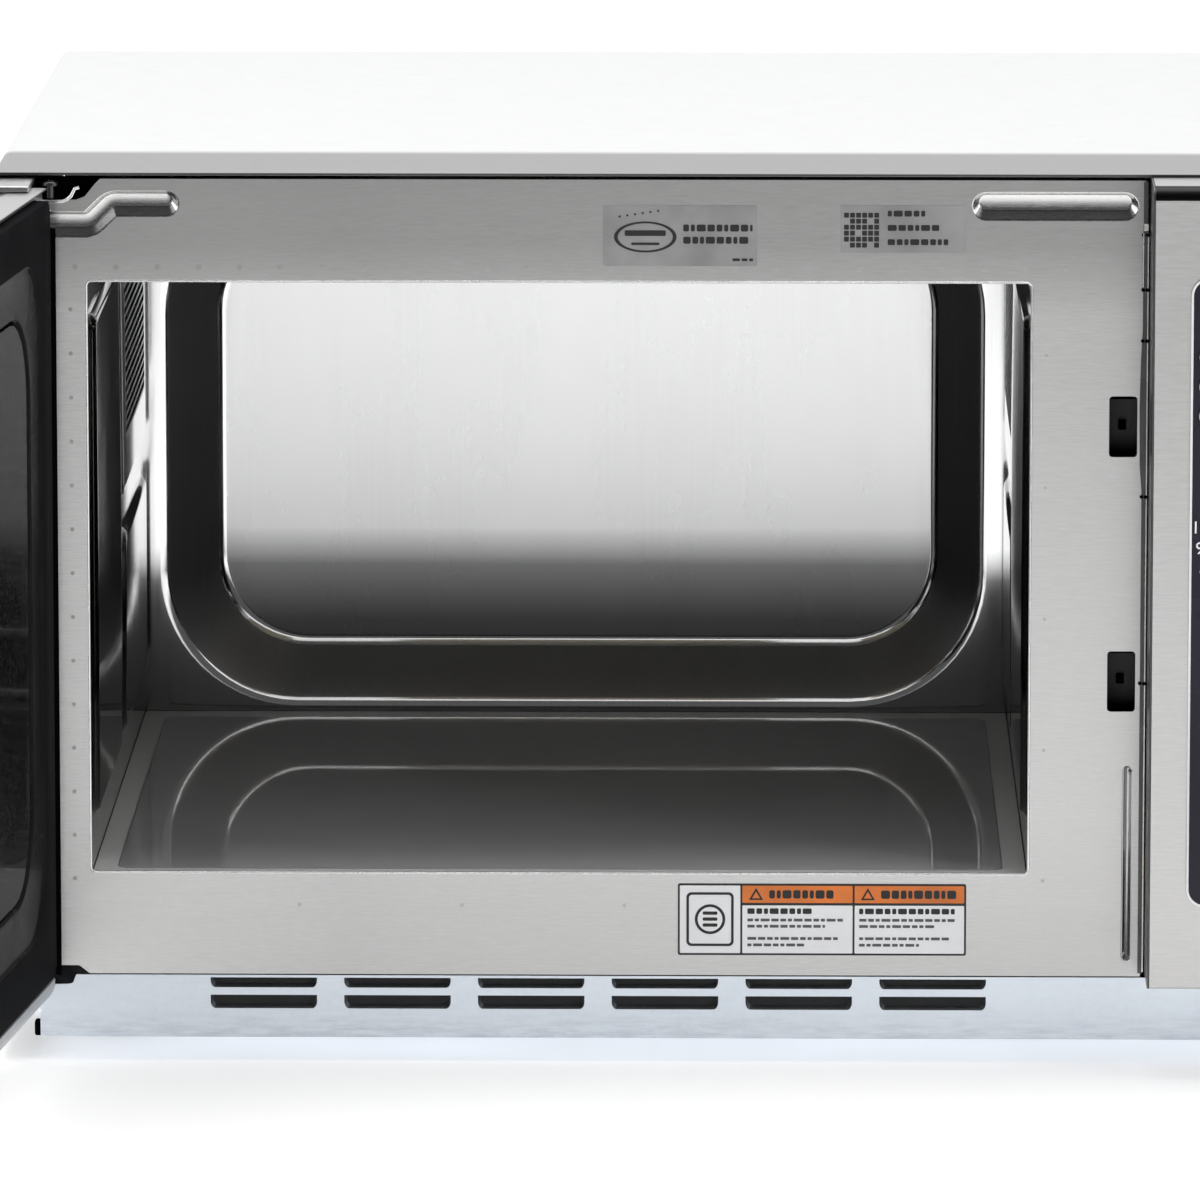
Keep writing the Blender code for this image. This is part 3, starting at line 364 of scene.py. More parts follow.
NODE_FINISH = {
    "case_steel": ["outer_case"],
    "front_steel": ["front_frame"],
    "door_steel_painted_shade": ["door_skin"],
    "upright_steel": ["door_handle"],
    "cavity_steel": ["cavity_shell", "waveguide"],
    "panel_steel": ["cavity_back"],
    "seal": ["shelf_seal"],
    "galvanised": ["base_plate", "panel_bracket"],
    "back_zinc": ["back_panel"],
    "zinc": ["lower_hinge", "door_inner_plate", "door_latch", "latch_spring", "dial_encoder",
             "stirrer_motor", "fan_shroud", "fan_motor"],
    "soft_black": ["cord_gland", "fan_blade", "air_duct", "latch_board", "lower_switch", "upper_switch",
                   "hv_diode", "thermal_cutout", "door_screen"],
    # The plungers are near-black so they paint the shade of their slots.
    "hole_black": ["lower_plunger", "upper_plunger"],
    "black": ["key_1", "key_2", "key_3"],
    "glass_dots": ["door_inner_glass", "door_outer_glass"],
    "dial_black": ["dial_knob"],
    "shelf": ["floor_shelf"],
    "overlay": ["keypad_overlay"],
    "rubber": ["foot_front_left", "foot_front_right", "foot_rear_left", "foot_rear_right"],
    "white": ["oven_lamp", "lamp_holder", "lower_bush", "upper_bush"],
    "mica": ["stirrer_cover"],
    "copper": ["transformer_coils"],
    "lamination": ["transformer_core"],
    "aluminium": ["magnetron", "magnetron_fins", "hv_capacitor", "stirrer_antenna"],
    "board": ["control_board", "line_filter"],
    "foam": ["intake_filter"],
}

NODE_EDGES = [
    # rounding in millimetres, segments, nodes
    (0.2, 2, ["keypad_overlay"]),
    (0.3, 2, ["back_panel"]),
    (0.35, 2, ["outer_case"]),
    (0.4, 2, ["door_inner_glass", "door_outer_glass"]),
    (0.5, 2, ["floor_shelf", "door_latch"]),
    (0.5, 3, ["lower_hinge"]),
    (0.6, 3, ["cord_gland"]),
    (0.8, 3, ["door_skin", "dial_knob"]),
    (1.2, 3, ["foot_front_left", "foot_front_right", "foot_rear_left", "foot_rear_right"]),
]


def finish_nodes():
    """Give every fixed node its finish, and the visible ones rounded edges."""
    for finish, names in NODE_FINISH.items():
        for name in names:
            data = NODES[name].data
            data.materials.clear()
            data.materials.append(FINISH[finish])
    for width, segments, names in NODE_EDGES:
        for name in names:
            soften(NODES[name], width, segments)


# ---------------------------------------------------------------- shape helpers

FACING = {
    "X": Matrix(((0, 0, 1), (1, 0, 0), (0, 1, 0))),
    "Y": Matrix(((1, 0, 0), (0, 0, -1), (0, 1, 0))),
    "Z": Matrix.Identity(3),
}


def place(point):
    """A cabinet point, in millimetres, as a point of the object's frame in metres."""
    return ORIGIN + Vector(point) * MM


def arc(centre_u, centre_v, radius, start, end, steps=8):
    """Points along an arc, in degrees."""
    points = []
    for index in range(steps + 1):
        angle = math.radians(start + (end - start) * index / steps)
        points.append((centre_u + radius * math.cos(angle), centre_v + radius * math.sin(angle)))
    return points


def rounded(left, low, right, high, radius, steps=8):
    """A rectangle's outline with rounded corners, anticlockwise."""
    return (arc(right - radius, high - radius, radius, 0, 90, steps)
            + arc(left + radius, high - radius, radius, 90, 180, steps)
            + arc(left + radius, low + radius, radius, 180, 270, steps)
            + arc(right - radius, low + radius, radius, 270, 360, steps))


def at_depth(outline, depth):
    """An outline's points as a ring that faces the front."""
    return [(u, depth, v) for u, v in outline]


def circle(centre_u, centre_v, radius, steps=32):
    """A circle's outline."""
    return arc(centre_u, centre_v, radius, 0, 360 - 360 / steps, steps - 1)


def in_scene(name, data):
    """A new object, linked to the scene."""
    made = bpy.data.objects.new(name, data)
    bpy.context.scene.collection.objects.link(made)
    return made


def placed_mesh(name, form):
    """A mesh in the object's frame from a bmesh in cabinet millimetres; the bmesh is used up."""
    mesh = bpy.data.meshes.new(name)
    form.to_mesh(mesh)
    form.free()
    mesh.transform(Matrix.Translation(ORIGIN) @ Matrix.Scale(MM, 4))
    return mesh


def final_mesh(item):
    """An object's mesh with everything on it worked in."""
    bpy.context.view_layer.update()
    graph = bpy.context.evaluated_depsgraph_get()
    return bpy.data.meshes.new_from_object(item.evaluated_get(graph))


def piece(name, form, finishes, body="cabinet", stands_for=(), smooth=35, edge=None):
    """A finished object from a bmesh in cabinet millimetres, riding on its body.

    Its edge is a rounding in millimetres and a count of segments.
    """
    bmesh.ops.remove_doubles(form, verts=form.verts, dist=0.002)
    mesh = placed_mesh(name, form)
    if body in ("door", "latch"):
        mesh.transform(SWING)
    for finish in [finishes] if isinstance(finishes, str) else finishes:
        mesh.materials.append(FINISH[finish])
    mesh.shade_smooth()
    mesh.set_sharp_from_angle(angle=math.radians(smooth))
    made = in_scene(name, mesh)
    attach(made, body)
    if stands_for:
        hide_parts(*stands_for)
    if edge:
        soften(made, *edge)
    return made


def box_piece(name, low, high, finish, edge):
    """A finished box with rounded edges on the cabinet."""
    form = bmesh.new()
    add_box(form, low, high)
    piece(name, form, finish, edge=edge)


def soften(item, width, segments=2):
    """Round an object's sharp edges."""
    bevel = item.modifiers.new("rounding", "BEVEL")
    bevel.width = width * MM
    bevel.segments = segments
    bevel.limit_method = "ANGLE"
    bevel.angle_limit = math.radians(35)
    bevel.harden_normals = False
    item.modifiers.new("shading", "WEIGHTED_NORMAL").keep_sharp = True


def drawn_mesh(curve, axis, where):
    """A filled curve's mesh, turned to look along an axis and moved; the curve is used up."""
    drawn = in_scene("outline", curve)
    mesh = final_mesh(drawn)
    mesh.transform(Matrix.Translation(where) @ FACING[axis].to_4x4())
    bpy.data.objects.remove(drawn, do_unlink=True)
    bpy.data.curves.remove(curve)
    return mesh


def add_slab(form, outlines, axis, low, high, material=0):
    """A flat outline with holes, extruded along an axis, added to a bmesh."""
    curve = bpy.data.curves.new("outline", "CURVE")
    curve.dimensions = "2D"
    curve.fill_mode = "BOTH"
    curve.extrude = abs(high - low) / 2
    for outline in outlines:
        spline = curve.splines.new("POLY")
        spline.points.add(len(outline) - 1)
        spline.use_cyclic_u = True
        for point, (u, v) in zip(spline.points, outline):
            point.co = (u, v, 0.0, 1.0)
    middle = Vector()
    middle["XYZ".index(axis)] = (low + high) / 2
    mesh = drawn_mesh(curve, axis, middle)
    part = bmesh.new()
    part.from_mesh(mesh)
    bmesh.ops.remove_doubles(part, verts=part.verts, dist=0.001)
    bmesh.ops.dissolve_limit(part, angle_limit=0.001, verts=part.verts, edges=part.edges)
    bmesh.ops.recalc_face_normals(part, faces=part.faces)
    for face in part.faces:
        face.material_index = material
    part.to_mesh(mesh)
    part.free()
    form.from_mesh(mesh)
    bpy.data.meshes.remove(mesh)


def slab(*shape):
    """A new bmesh that holds one slab."""
    form = bmesh.new()
    add_slab(form, *shape)
    return form


def add_box(form, low, high):
    """A box between two corners, added to a bmesh."""
    made = bmesh.ops.create_cube(form, size=1.0)["verts"]
    bmesh.ops.scale(form, vec=Vector(high) - Vector(low), verts=made)
    bmesh.ops.translate(form, vec=(Vector(high) + Vector(low)) / 2, verts=made)


def add_rings(form, rings, material=0, close_first=False, close_last=False, wrap=True):
    """Quads through rings of points; each ring has the same count."""
    rows = [[form.verts.new(point) for point in ring] for ring in rings]
    for step, (first, second) in enumerate(zip(rows, rows[1:])):
        count = len(first) if wrap else len(first) - 1
        for index in range(count):
            after = (index + 1) % len(first)
            face = form.faces.new((first[index], first[after], second[after], second[index]))
            face.material_index = material[step] if isinstance(material, (list, tuple)) else material
    last = material[-1] if isinstance(material, (list, tuple)) else material
    if close_first:
        form.faces.new(list(reversed(rows[0]))).material_index = last
    if close_last:
        form.faces.new(rows[-1]).material_index = last


def add_turned(form, profile, centre, axis, steps):
    """A turned shape: radius and height pairs about an axis through a point."""
    rings = []
    for radius, height in profile:
        ring = []
        for index in range(steps):
            angle = 2 * math.pi * index / steps
            u, v = radius * math.cos(angle), radius * math.sin(angle)
            if axis == "Z":
                ring.append((centre[0] + u, centre[1] + v, centre[2] + height))
            elif axis == "Y":
                ring.append((centre[0] + u, centre[1] - height, centre[2] + v))
            else:
                ring.append((centre[0] + height, centre[1] + u, centre[2] + v))
        rings.append(ring)
    add_rings(form, rings)


def add_pipe(form, points, radius, sides):
    """A round bar along points, with closed ends."""
    points = [Vector(point) for point in points]
    rings = []
    side = None
    for index, point in enumerate(points):
        before = points[max(index - 1, 0)]
        after = points[min(index + 1, len(points) - 1)]
        ahead = (after - before).normalized()
        if side is None:
            side = ahead.orthogonal().normalized()
        side = (side - ahead * side.dot(ahead)).normalized()
        up = ahead.cross(side)
        ring = []
        for step in range(sides):
            angle = 2 * math.pi * step / sides
            ring.append(point + side * radius * math.cos(angle) + up * radius * math.sin(angle))
        rings.append(ring)
    add_rings(form, rings, close_first=True, close_last=True)


def bend(start, corner, end, radius, steps=8):
    """Points that round a corner between two straight runs."""
    start, corner, end = Vector(start), Vector(corner), Vector(end)
    towards = (start - corner).normalized()
    away = (end - corner).normalized()
    half = towards.angle(away) / 2
    centre = corner + (towards + away).normalized() * (radius / math.sin(half))
    first = corner + towards * (radius / math.tan(half)) - centre
    last = corner + away * (radius / math.tan(half)) - centre
    sweep = first.angle(last)
    points = []
    for index in range(steps + 1):
        share = index / steps
        spread = math.sin((1 - share) * sweep) * first + math.sin(share * sweep) * last
        points.append(centre + spread / math.sin(sweep))
    return points


def clean(form):
    """Turn a closed bmesh's faces outwards."""
    bmesh.ops.remove_doubles(form, verts=form.verts, dist=0.002)
    bmesh.ops.recalc_face_normals(form, faces=form.faces)
    return form


# ---------------------------------------------------------------- studio

CAMERA = (21.2, -4050.0, 864.0)
AIM = (-41.65, 0.0, 184.5)
LENS = 314.4


def make_camera():
    """A long lens a little above the oven, almost square to its front."""
    camera = in_scene("camera", bpy.data.cameras.new("camera"))
    camera.data.lens = LENS
    camera.data.sensor_width = 36.0
    camera.data.clip_end = 60.0
    camera.location = place(CAMERA)
    aim = place(AIM) - camera.location
    camera.rotation_euler = aim.to_track_quat("-Z", "Y").to_euler()
    bpy.context.scene.camera = camera


def area_light(name, where, aim, width, height, watts):
    """A soft box."""
    data = bpy.data.lights.new(name, "AREA")
    data.shape = "RECTANGLE"
    data.size = width
    data.size_y = height
    data.energy = watts
    light = in_scene(name, data)
    light.location = where
    light.rotation_euler = (Vector(aim) - Vector(where)).to_track_quat("-Z", "Y").to_euler()


def make_studio():
    """A pale floor, an even surround and three soft boxes."""
    mesh = bpy.data.meshes.new("floor")
    form = bmesh.new()
    bmesh.ops.create_grid(form, x_segments=1, y_segments=1, size=14.0)
    form.to_mesh(mesh)
    form.free()
    floor = in_scene("floor", mesh)
    floor.location.z = -0.2 * MM
    pale = Shader("floor_paper", (0.90, 0.90, 0.90), 0.8)
    blotches = pale.noise((3.0, 3.0, 3.0))
    pale.set(Base_Color=pale.mix(blotches, (0.89, 0.89, 0.89), (0.91, 0.91, 0.91)))
    pale.set(Emission_Color=(1.0, 1.0, 1.0))
    # The floor glows, most in front of the oven, painting light over the oven's shadow, and behind it.
    behind = pale.remap(pale.separate("Y"), 0.3, 1.2, 0.0, 0.25)
    before = pale.remap(pale.separate("Y"), -2.6, -0.7, 0.06, 0.41)
    pale.set(Emission_Strength=pale.maths("ADD", behind, before))
    mesh.materials.append(pale.material)
    make_surround()
    bpy.context.scene.view_settings.view_transform = "Standard"
    area_light("top_box", (0.1, 0.5, 2.4), (0.0, 0.2, 0.0), 2.8, 1.6, 52)
    area_light("left_box", (-2.4, -1.0, 1.5), (0.0, 0.0, 0.2), 1.4, 2.0, 20)
    area_light("right_box", (2.4, -1.4, 1.4), (0.0, 0.0, 0.2), 1.2, 2.0, 16)


def make_surround():
    """A studio room: pale overhead and behind the oven, dark behind the camera."""
    world = bpy.data.worlds.new("surround")
    world.use_nodes = True
    tree = world.node_tree
    split = add_node(tree, "SeparateXYZ", Vector=add_node(tree, "TexCoord").outputs["Generated"])
    brighter = add_node(tree, "Math")
    brighter.operation = "MAXIMUM"
    ramps = (("Y", -0.75, 0.45, 0.10, 0.88), ("Z", 0.72, 0.95, 0.0, 0.6))
    for index, (axis, start, end, dim, bright) in enumerate(ramps):
        ramp = add_node(tree, "MapRange", Value=split.outputs[axis],
                        From_Min=start, From_Max=end, To_Min=dim, To_Max=bright)
        ramp.interpolation_type = "SMOOTHSTEP"
        join(tree, ramp.outputs["Result"], brighter.inputs[index])
    feed(tree, tree.nodes["Background"], Strength=brighter.outputs["Value"], Color=(0.98, 0.985, 0.99))
    bpy.context.scene.world = world


# ---------------------------------------------------------------- front frame

FRAME_LOW, FRAME_HIGH = span("front_frame")
SHEET = 1.0
OPEN_LEFT, OPEN_RIGHT = -241.7, 126.3
OPEN_LOW, OPEN_HIGH = 75.8, 309.8
OPENING = (OPEN_LEFT, OPEN_LOW, OPEN_RIGHT, OPEN_HIGH)
LATCH_SLOT_LOWS = (140.6, 241.6)
RIB_DEPTH = 2.7


def rib_profile(radius):
    """How far in, how deep and how far up each ring of a pressed recess lies."""
    return [
        (-0.25, 0.0, 0.0), (0.0, 0.03, 0.0), (0.3, 0.14, 0.05), (0.7, 0.45, 0.2), (2.2, 1.95, 1.15),
        (2.7, 2.35, 1.4), (3.1, 2.55, 1.55), (3.6, 2.65, 1.65), (radius - 0.15, RIB_DEPTH, 1.65),
    ]


def stepped_line(left, knee, high_start, right, low, high):
    """A rib's centre line with two soft bends between its two levels."""
    corners = [(left, 0, low), (knee, 0, low), (high_start, 0, high), (right, 0, high)]
    points = [Vector(corners[0])]
    points += bend(*corners[:3], 5.6, 6)
    points += bend(*corners[1:], 5.6, 6)
    points.append(Vector(corners[3]))
    return points


def ribbon(points, radius):
    """An outline at an even distance round a centre line in the XZ plane."""
    left, right = [], []
    for index, point in enumerate(points):
        before = points[max(index - 1, 0)]
        after = points[min(index + 1, len(points) - 1)]
        ahead = (after - before).normalized()
        side = Vector((-ahead.z, 0.0, ahead.x))
        left.append(point + side * radius)
        right.append(point - side * radius)
    start, end = points[0], points[-1]
    cap_end = [end + Vector((math.cos(a), 0, math.sin(a))) * radius
               for a in (math.pi / 2 - math.pi * step / 10 for step in range(1, 10))]
    cap_start = [start + Vector((-math.cos(a), 0, -math.sin(a))) * radius
                 for a in (math.pi / 2 - math.pi * step / 10 for step in range(1, 10))]
    return left + cap_end + list(reversed(right)) + cap_start


def add_rib(form, points, radius):
    """A pressed recess along a centre line in the frame's face."""
    rings = []
    for inset, depth, lift in rib_profile(radius):
        ring = ribbon(points, radius - inset)
        rings.append([Vector((point.x, depth, point.z + lift)) for point in ring])
    add_rings(form, rings, close_last=True)


def shade_slopes(form):
    """Give a recess's upward-facing slopes the second finish, a darker steel of painted shade."""
    form.normal_update()
    for face in form.faces:
        upward = face.normal.z if face.normal.y < 0 else -face.normal.z
        if upward > 0.35:
            face.material_index = 1


def grown(box, reach):
    """A box let out by a distance on every side."""
    return box[0] - reach, box[1] - reach, box[2] + reach, box[3] + reach


FRAME_RIBS = [
    # centre line, half width
    (stepped_line(-262.0, -240.6, -232.2, -210.8, 332.4, 340.6), 5.2),
    ([Vector((108.8, 0, 340.2)), Vector((162.6, 0, 340.2))], 5.7),
]


def make_front_sheet():
    """Brushed sheet with its opening, slots and notched corner, pierced where ribs are pressed."""
    edge = FRAME_LOW.x
    right, low, high = FRAME_HIGH.x, FRAME_LOW.z, FRAME_HIGH.z - 0.9
    outline = [
        (edge, low), (-262.0, low), (-259.0, low + 3.2), (-247.0, low + 3.2), (-243.0, low), (right, low),
        (right, high), (-236.5, high), (-238.5, high - 2.0), (-242.5, high - 7.0), (-246.0, high - 8.3),
        (edge, high - 8.3),
    ]
    holes = [rounded(*OPENING, 1.5, 3), rounded(163.9, 41.0, 167.1, 119.0, 1.55, 5)]
    holes += [rounded(157.2, slot_low, 168.2, slot_low + 24.0, 1.4, 4) for slot_low in LATCH_SLOT_LOWS]
    holes += [[(point.x, point.z) for point in ribbon(line, radius)] for line, radius in FRAME_RIBS]
    form = slab([outline] + holes, "Y", 0.0, SHEET)
    piece("front_sheet", form, "front_steel", "cabinet", ["front_frame"], edge=(0.45, 2))


def make_opening_lip():
    """The thin bright rolled edge round the opening."""
    form = bmesh.new()
    rings = []
    for reach, depth in ((0.95, 0.1), (0.85, -0.10), (0.6, -0.28), (0.35, -0.24), (0.0, 0.3), (0.0, 1.0)):
        rings.append(at_depth(rounded(*grown(OPENING, reach), 1.5 + reach, 5), depth))
    add_rings(form, rings)
    piece("opening_lip", form, "lip_steel", smooth=60)


def make_front_frame():
    """The front sheet with its pressed ribs, groove, lip, painted shade at the hinge side and weld marks."""
    make_front_sheet()
    make_opening_lip()
    ribs = bmesh.new()
    for line, radius in FRAME_RIBS:
        add_rib(ribs, line, radius)
    shade_slopes(ribs)
    piece("frame_ribs", ribs, ["rib_steel", "rib_shade"], smooth=60)
    # A plate behind the notch, near-black to paint the shade there.
    box_piece("hinge_reinforcement", (-262.0, 6.0, 336.0), (-236.0, 6.8, 350.6),
              "hole_black", (0.2, 2))
    # A near-black strip that paints the shadow in the gap beside the door's hinge edge.
    box_piece("hinge_side_painted_shadow", (-263.5, -0.35, 34.0), (-254.0, -0.05, 331.0),
              "hole_black", (0.1, 2))
    groove = bmesh.new()
    profile = [(-0.5, -0.05), (0.0, 0.10), (0.35, 0.6), (0.75, 1.2), (1.1, 1.5)]
    centre = [Vector((165.5, 0, 42.6)), Vector((165.5, 0, 117.4))]
    rings = [[Vector((p.x, depth, p.z)) for p in ribbon(centre, 1.6 - inset)] for inset, depth in profile]
    add_rings(groove, rings, close_last=True)
    piece("frame_groove", groove, "front_steel", smooth=60)
    make_weld_marks()


def add_dimple(form, x, z, radius):
    """A shallow round witness mark pressed in the sheet: a low ring and a flat."""
    profile = [(radius, 0.01), (radius * 0.8, 0.05), (radius * 0.5, 0.01)]
    rings = [at_depth(circle(x, z, reach, 10), -rise) for reach, rise in profile]
    add_rings(form, rings, close_last=True)


def make_weld_marks():
    """Spot welds in rows round the opening."""
    form = bmesh.new()
    for index in range(25):
        add_dimple(form, -246.4 + 16.1 * index, 315.6, 1.15)
    for index in range(5):
        add_dimple(form, -160.0 + 64.0 * index, 62.5, 0.8)
    for index in range(14):
        z = 299.0 - 17.4 * index
        add_dimple(form, -248.4, z, 0.85)
        if index % 3 == 1:
            add_dimple(form, 132.5, z, 0.7)
    piece("weld_marks", form, "weld_steel")


# ---------------------------------------------------------------- cavity

BACK_DEPTH = 362.0
RECESS = 19.0
BEND = 1.9
SLOPE = 19.5
DISH_MOUTH = (-232.6, 80.0, 115.6, 303.0, 56.0)
DISH_FLOOR = (-208.7, 103.5, 94.9, 283.0, 37.0)


def dish_outline(reach):
    """The dish's outline, reach millimetres in from its mouth, from its edges and corner radius."""
    share = reach / SLOPE
    return rounded(*(mouth + share * (floor - mouth) for mouth, floor in zip(DISH_MOUTH, DISH_FLOOR)), 14)


def dish_depth(reach):
    """How deep the dish is, with a soft bend at both ends of its slope."""
    if reach < BEND:
        drop = (reach + BEND) ** 2 / (4 * BEND)
    elif reach > SLOPE - BEND:
        drop = SLOPE - (SLOPE + BEND - reach) ** 2 / (4 * BEND)
    else:
        drop = reach
    return drop * RECESS / SLOPE


def make_cavity_back():
    """The dished back wall: bright rim, sloping band of painted shade, finely grained middle with painted
    reflection.
    """
    form = bmesh.new()
    rim = rounded(OPEN_LEFT, OPEN_LOW - 6.6, OPEN_RIGHT, OPEN_HIGH, 0.6, 14)
    rings = [at_depth(rim, BACK_DEPTH)]
    turns = [BEND * share for share in (-1.0, -0.5, 0.0, 0.5, 1.0)]
    for reach in turns + [8.0, 14.0] + [SLOPE + turn for turn in turns]:
        depth = BACK_DEPTH + dish_depth(reach)
        rings.append([(u, depth, min(v, OPEN_HIGH)) for u, v in dish_outline(reach)])
    # The sloping band's rings take the painted-shade finish.
    kinds = [3, 0, 0, 0, 1, 1, 1, 1, 0, 0, 0, 2]
    add_rings(form, rings, kinds, close_last=True)
    finishes = ["rim_steel", "band_painted_shade_steel", "panel_steel", "rim_field"]
    piece("cavity_back_wall", form, finishes, stands_for=["cavity_back"], smooth=50)


def plateau(u, v, box, radius, width):
    """0 outside a rounded rectangle, rising smoothly to 1 inside it."""
    left, low, right, high = box
    centre_u, centre_v = (left + right) / 2, (low + high) / 2
    over_u = abs(u - centre_u) - (right - left) / 2 + radius
    over_v = abs(v - centre_v) - (high - low) / 2 + radius
    outside = math.hypot(max(over_u, 0.0), max(over_v, 0.0)) + min(max(over_u, over_v), 0.0) - radius
    share = min(max(-outside / width, 0.0), 1.0)
    return share * share * (3 - 2 * share)


# Each pressing: its box in depth and height, corner radius, slope width and rise.
WALL_PRESSINGS = [
    ((9, 96, 152, 296), 7, 2.6, 2.6),
    ((174, 196, 346, 340), 6, 2.6, 1.8),
    ((186, 96, 346, 182), 10, 4, 2.0),
]
VENT = (197, 219, 337, 306)
WALL_LOW = OPEN_LOW - 6.0


def wall_bow(y, z):
    """How far the thin wall bulges inwards at a depth and height."""
    along = math.sin(math.pi * (y - SHEET) / BACK_DEPTH)
    up = math.sin(math.pi * (z - WALL_LOW) / (OPEN_HIGH - WALL_LOW))
    return 0.9 * along * up


def make_side_wall(name, x, inward, field_finish):
    """A polished wall with pressed fields and a perforated vent."""
    form = bmesh.new()
    pitch = 1.3
    columns = int((BACK_DEPTH - SHEET) / pitch)
    rows = int((OPEN_HIGH - WALL_LOW) / pitch)
    grid = []
    for row in range(rows + 1):
        z = WALL_LOW + (OPEN_HIGH - WALL_LOW) * row / rows
        line = []
        for column in range(columns + 1):
            y = SHEET + (BACK_DEPTH - SHEET) * column / columns
            rise = 0.0
            for box, radius, width, tall in WALL_PRESSINGS:
                rise = max(rise, tall * plateau(y, z, box, radius, width))
            line.append(form.verts.new((x + inward * (rise + wall_bow(y, z)), y, z)))
        grid.append(line)
    for first, second in zip(grid, grid[1:]):
        for index in range(columns):
            corner = (first[index], first[index + 1], second[index + 1], second[index])
            made = form.faces.new(corner if inward < 0 else tuple(reversed(corner)))
            middle = made.calc_center_median()
            if VENT[0] < middle.y < VENT[2] and VENT[1] < middle.z < VENT[3]:
                made.material_index = 1
            elif plateau(middle.y, middle.z, *WALL_PRESSINGS[0][:3]) > 0.97:
                made.material_index = 2
    piece(name, form, ["wall_steel", "vent_steel", field_finish], smooth=60)
    make_vent_holes(name + "_vent_holes", x, inward)


def make_vent_holes(name, x, inward):
    """Staggered rows of small holes over a wall's vent."""
    form = bmesh.new()
    step = 4.7
    near, bottom, far, top = VENT
    for row in range(int((top - bottom) / step * 1.15)):
        z = bottom + 2.5 + row * step * 0.866
        for column in range(int((far - near) / step)):
            y = near + 2.5 + column * step + (row % 2) * step / 2
            face_x = x + inward * (1.86 + wall_bow(y, z))
            # Each hole is a near-black disk of painted shade.
            ring = [form.verts.new((face_x, y + u, z + v)) for u, v in circle(0, 0, 1.75, 10)]
            form.faces.new(ring if inward > 0 else list(reversed(ring)))
    piece(name, form, "hole_black")


def make_cavity():
    """Side walls, ceiling, floor pan and back."""
    # The left wall's main field is painted darker for shade.
    make_side_wall("cavity_left_wall", OPEN_LEFT, 1, "wall_painted_shade")
    make_side_wall("cavity_right_wall", OPEN_RIGHT, -1, "wall_steel")
    form = bmesh.new()
    front, low, high = SHEET + 0.3, OPEN_LOW - 7.6, OPEN_HIGH + 1.0
    add_box(form, (OPEN_LEFT - 1.0, front, OPEN_HIGH), (OPEN_RIGHT + 1.0, BACK_DEPTH, high))
    add_box(form, (OPEN_LEFT - 1.0, front, low), (OPEN_RIGHT + 1.0, BACK_DEPTH, low + 1.0))
    add_box(form, (OPEN_LEFT - 2.2, front, low), (OPEN_LEFT - 1.2, BACK_DEPTH, high))
    add_box(form, (OPEN_RIGHT + 1.2, front, low), (OPEN_RIGHT + 2.2, BACK_DEPTH, high))
    piece("cavity_box", form, "cavity_steel", stands_for=["cavity_shell"])
    make_cavity_back()


# ---------------------------------------------------------------- base plate

LOUVRE_FIRST, LOUVRE_PITCH, LOUVRE_WIDTH, LOUVRE_COUNT = -195.3, 52.75, 42.0, 6
LOUVRE_ROWS = [(20.8, 26.2), (29.2, 33.2)]


def louvre_outline(left, low, high, inset=0.0, raise_low=0.0):
    """A flat-topped opening with round lower corners."""
    radius = 3.4
    left, right, low = left + inset, left + LOUVRE_WIDTH - inset, low + raise_low
    points = [(right, high), (left, high)]
    points += arc(left + radius, low + radius * 0.8, radius, 180, 270, 6)
    points += arc(right - radius, low + radius * 0.8, radius, 270, 360, 6)
    return [(u, max(v, low)) for u, v in points]


def make_base():
    """The galvanised tray: lip with pressed louvres, pan and rear flange."""
    outline = [(-262.6, 9.4), (278.2, 9.4), (278.2, 34.2), (-248.3, 34.2), (-249.0, 32.6), (-249.4, 31.2),
               (-250.2, 30.6), (-251.4, 30.4), (-260.6, 30.2), (-262.4, 29.6), (-263.0, 28.2), (-263.0, 20.6),
               (-261.6, 19.4), (-262.6, 18.4)]
    spots = [(LOUVRE_FIRST + column * LOUVRE_PITCH, low, high)
             for column in range(LOUVRE_COUNT) for low, high in LOUVRE_ROWS]
    form = slab([outline] + [louvre_outline(*spot) for spot in spots], "Y", 0.0, 1.0)
    pan = [(-262.6, 0.95), (278.2, 0.95), (278.2, 416.5), (-278.2, 416.5), (-278.2, 90.0), (-262.6, 90.0)]
    add_slab(form, [pan], "Z", 9.0, 10.0)
    add_box(form, (-278.2, 415.5, 9.9), (278.2, 416.5, 30.0))
    piece("base_skirt", form, "galvanised", "cabinet", ["base_plate"], edge=(0.35, 2))
    # The inward lips are dark steel of painted shade.
    scoops = bmesh.new()
    scoop = [(0.05, -0.25, -0.25), (0.5, 0.05, 0.05), (1.1, 0.3, 0.5), (1.9, 0.7, 1.15), (3.0, 1.5, 1.7)]
    for left, low, high in spots:
        rings = [at_depth(louvre_outline(left, low, high, inset, lift), depth)
                 for depth, inset, lift in scoop]
        add_rings(scoops, rings)
    piece("base_louvres", scoops, "louvre_steel", smooth=60)
    box_piece("base_corner_plug", (-265.0, 0.4, 9.3), (-262.0, 6.0, 15.4), "hole_black", (0.9, 3))


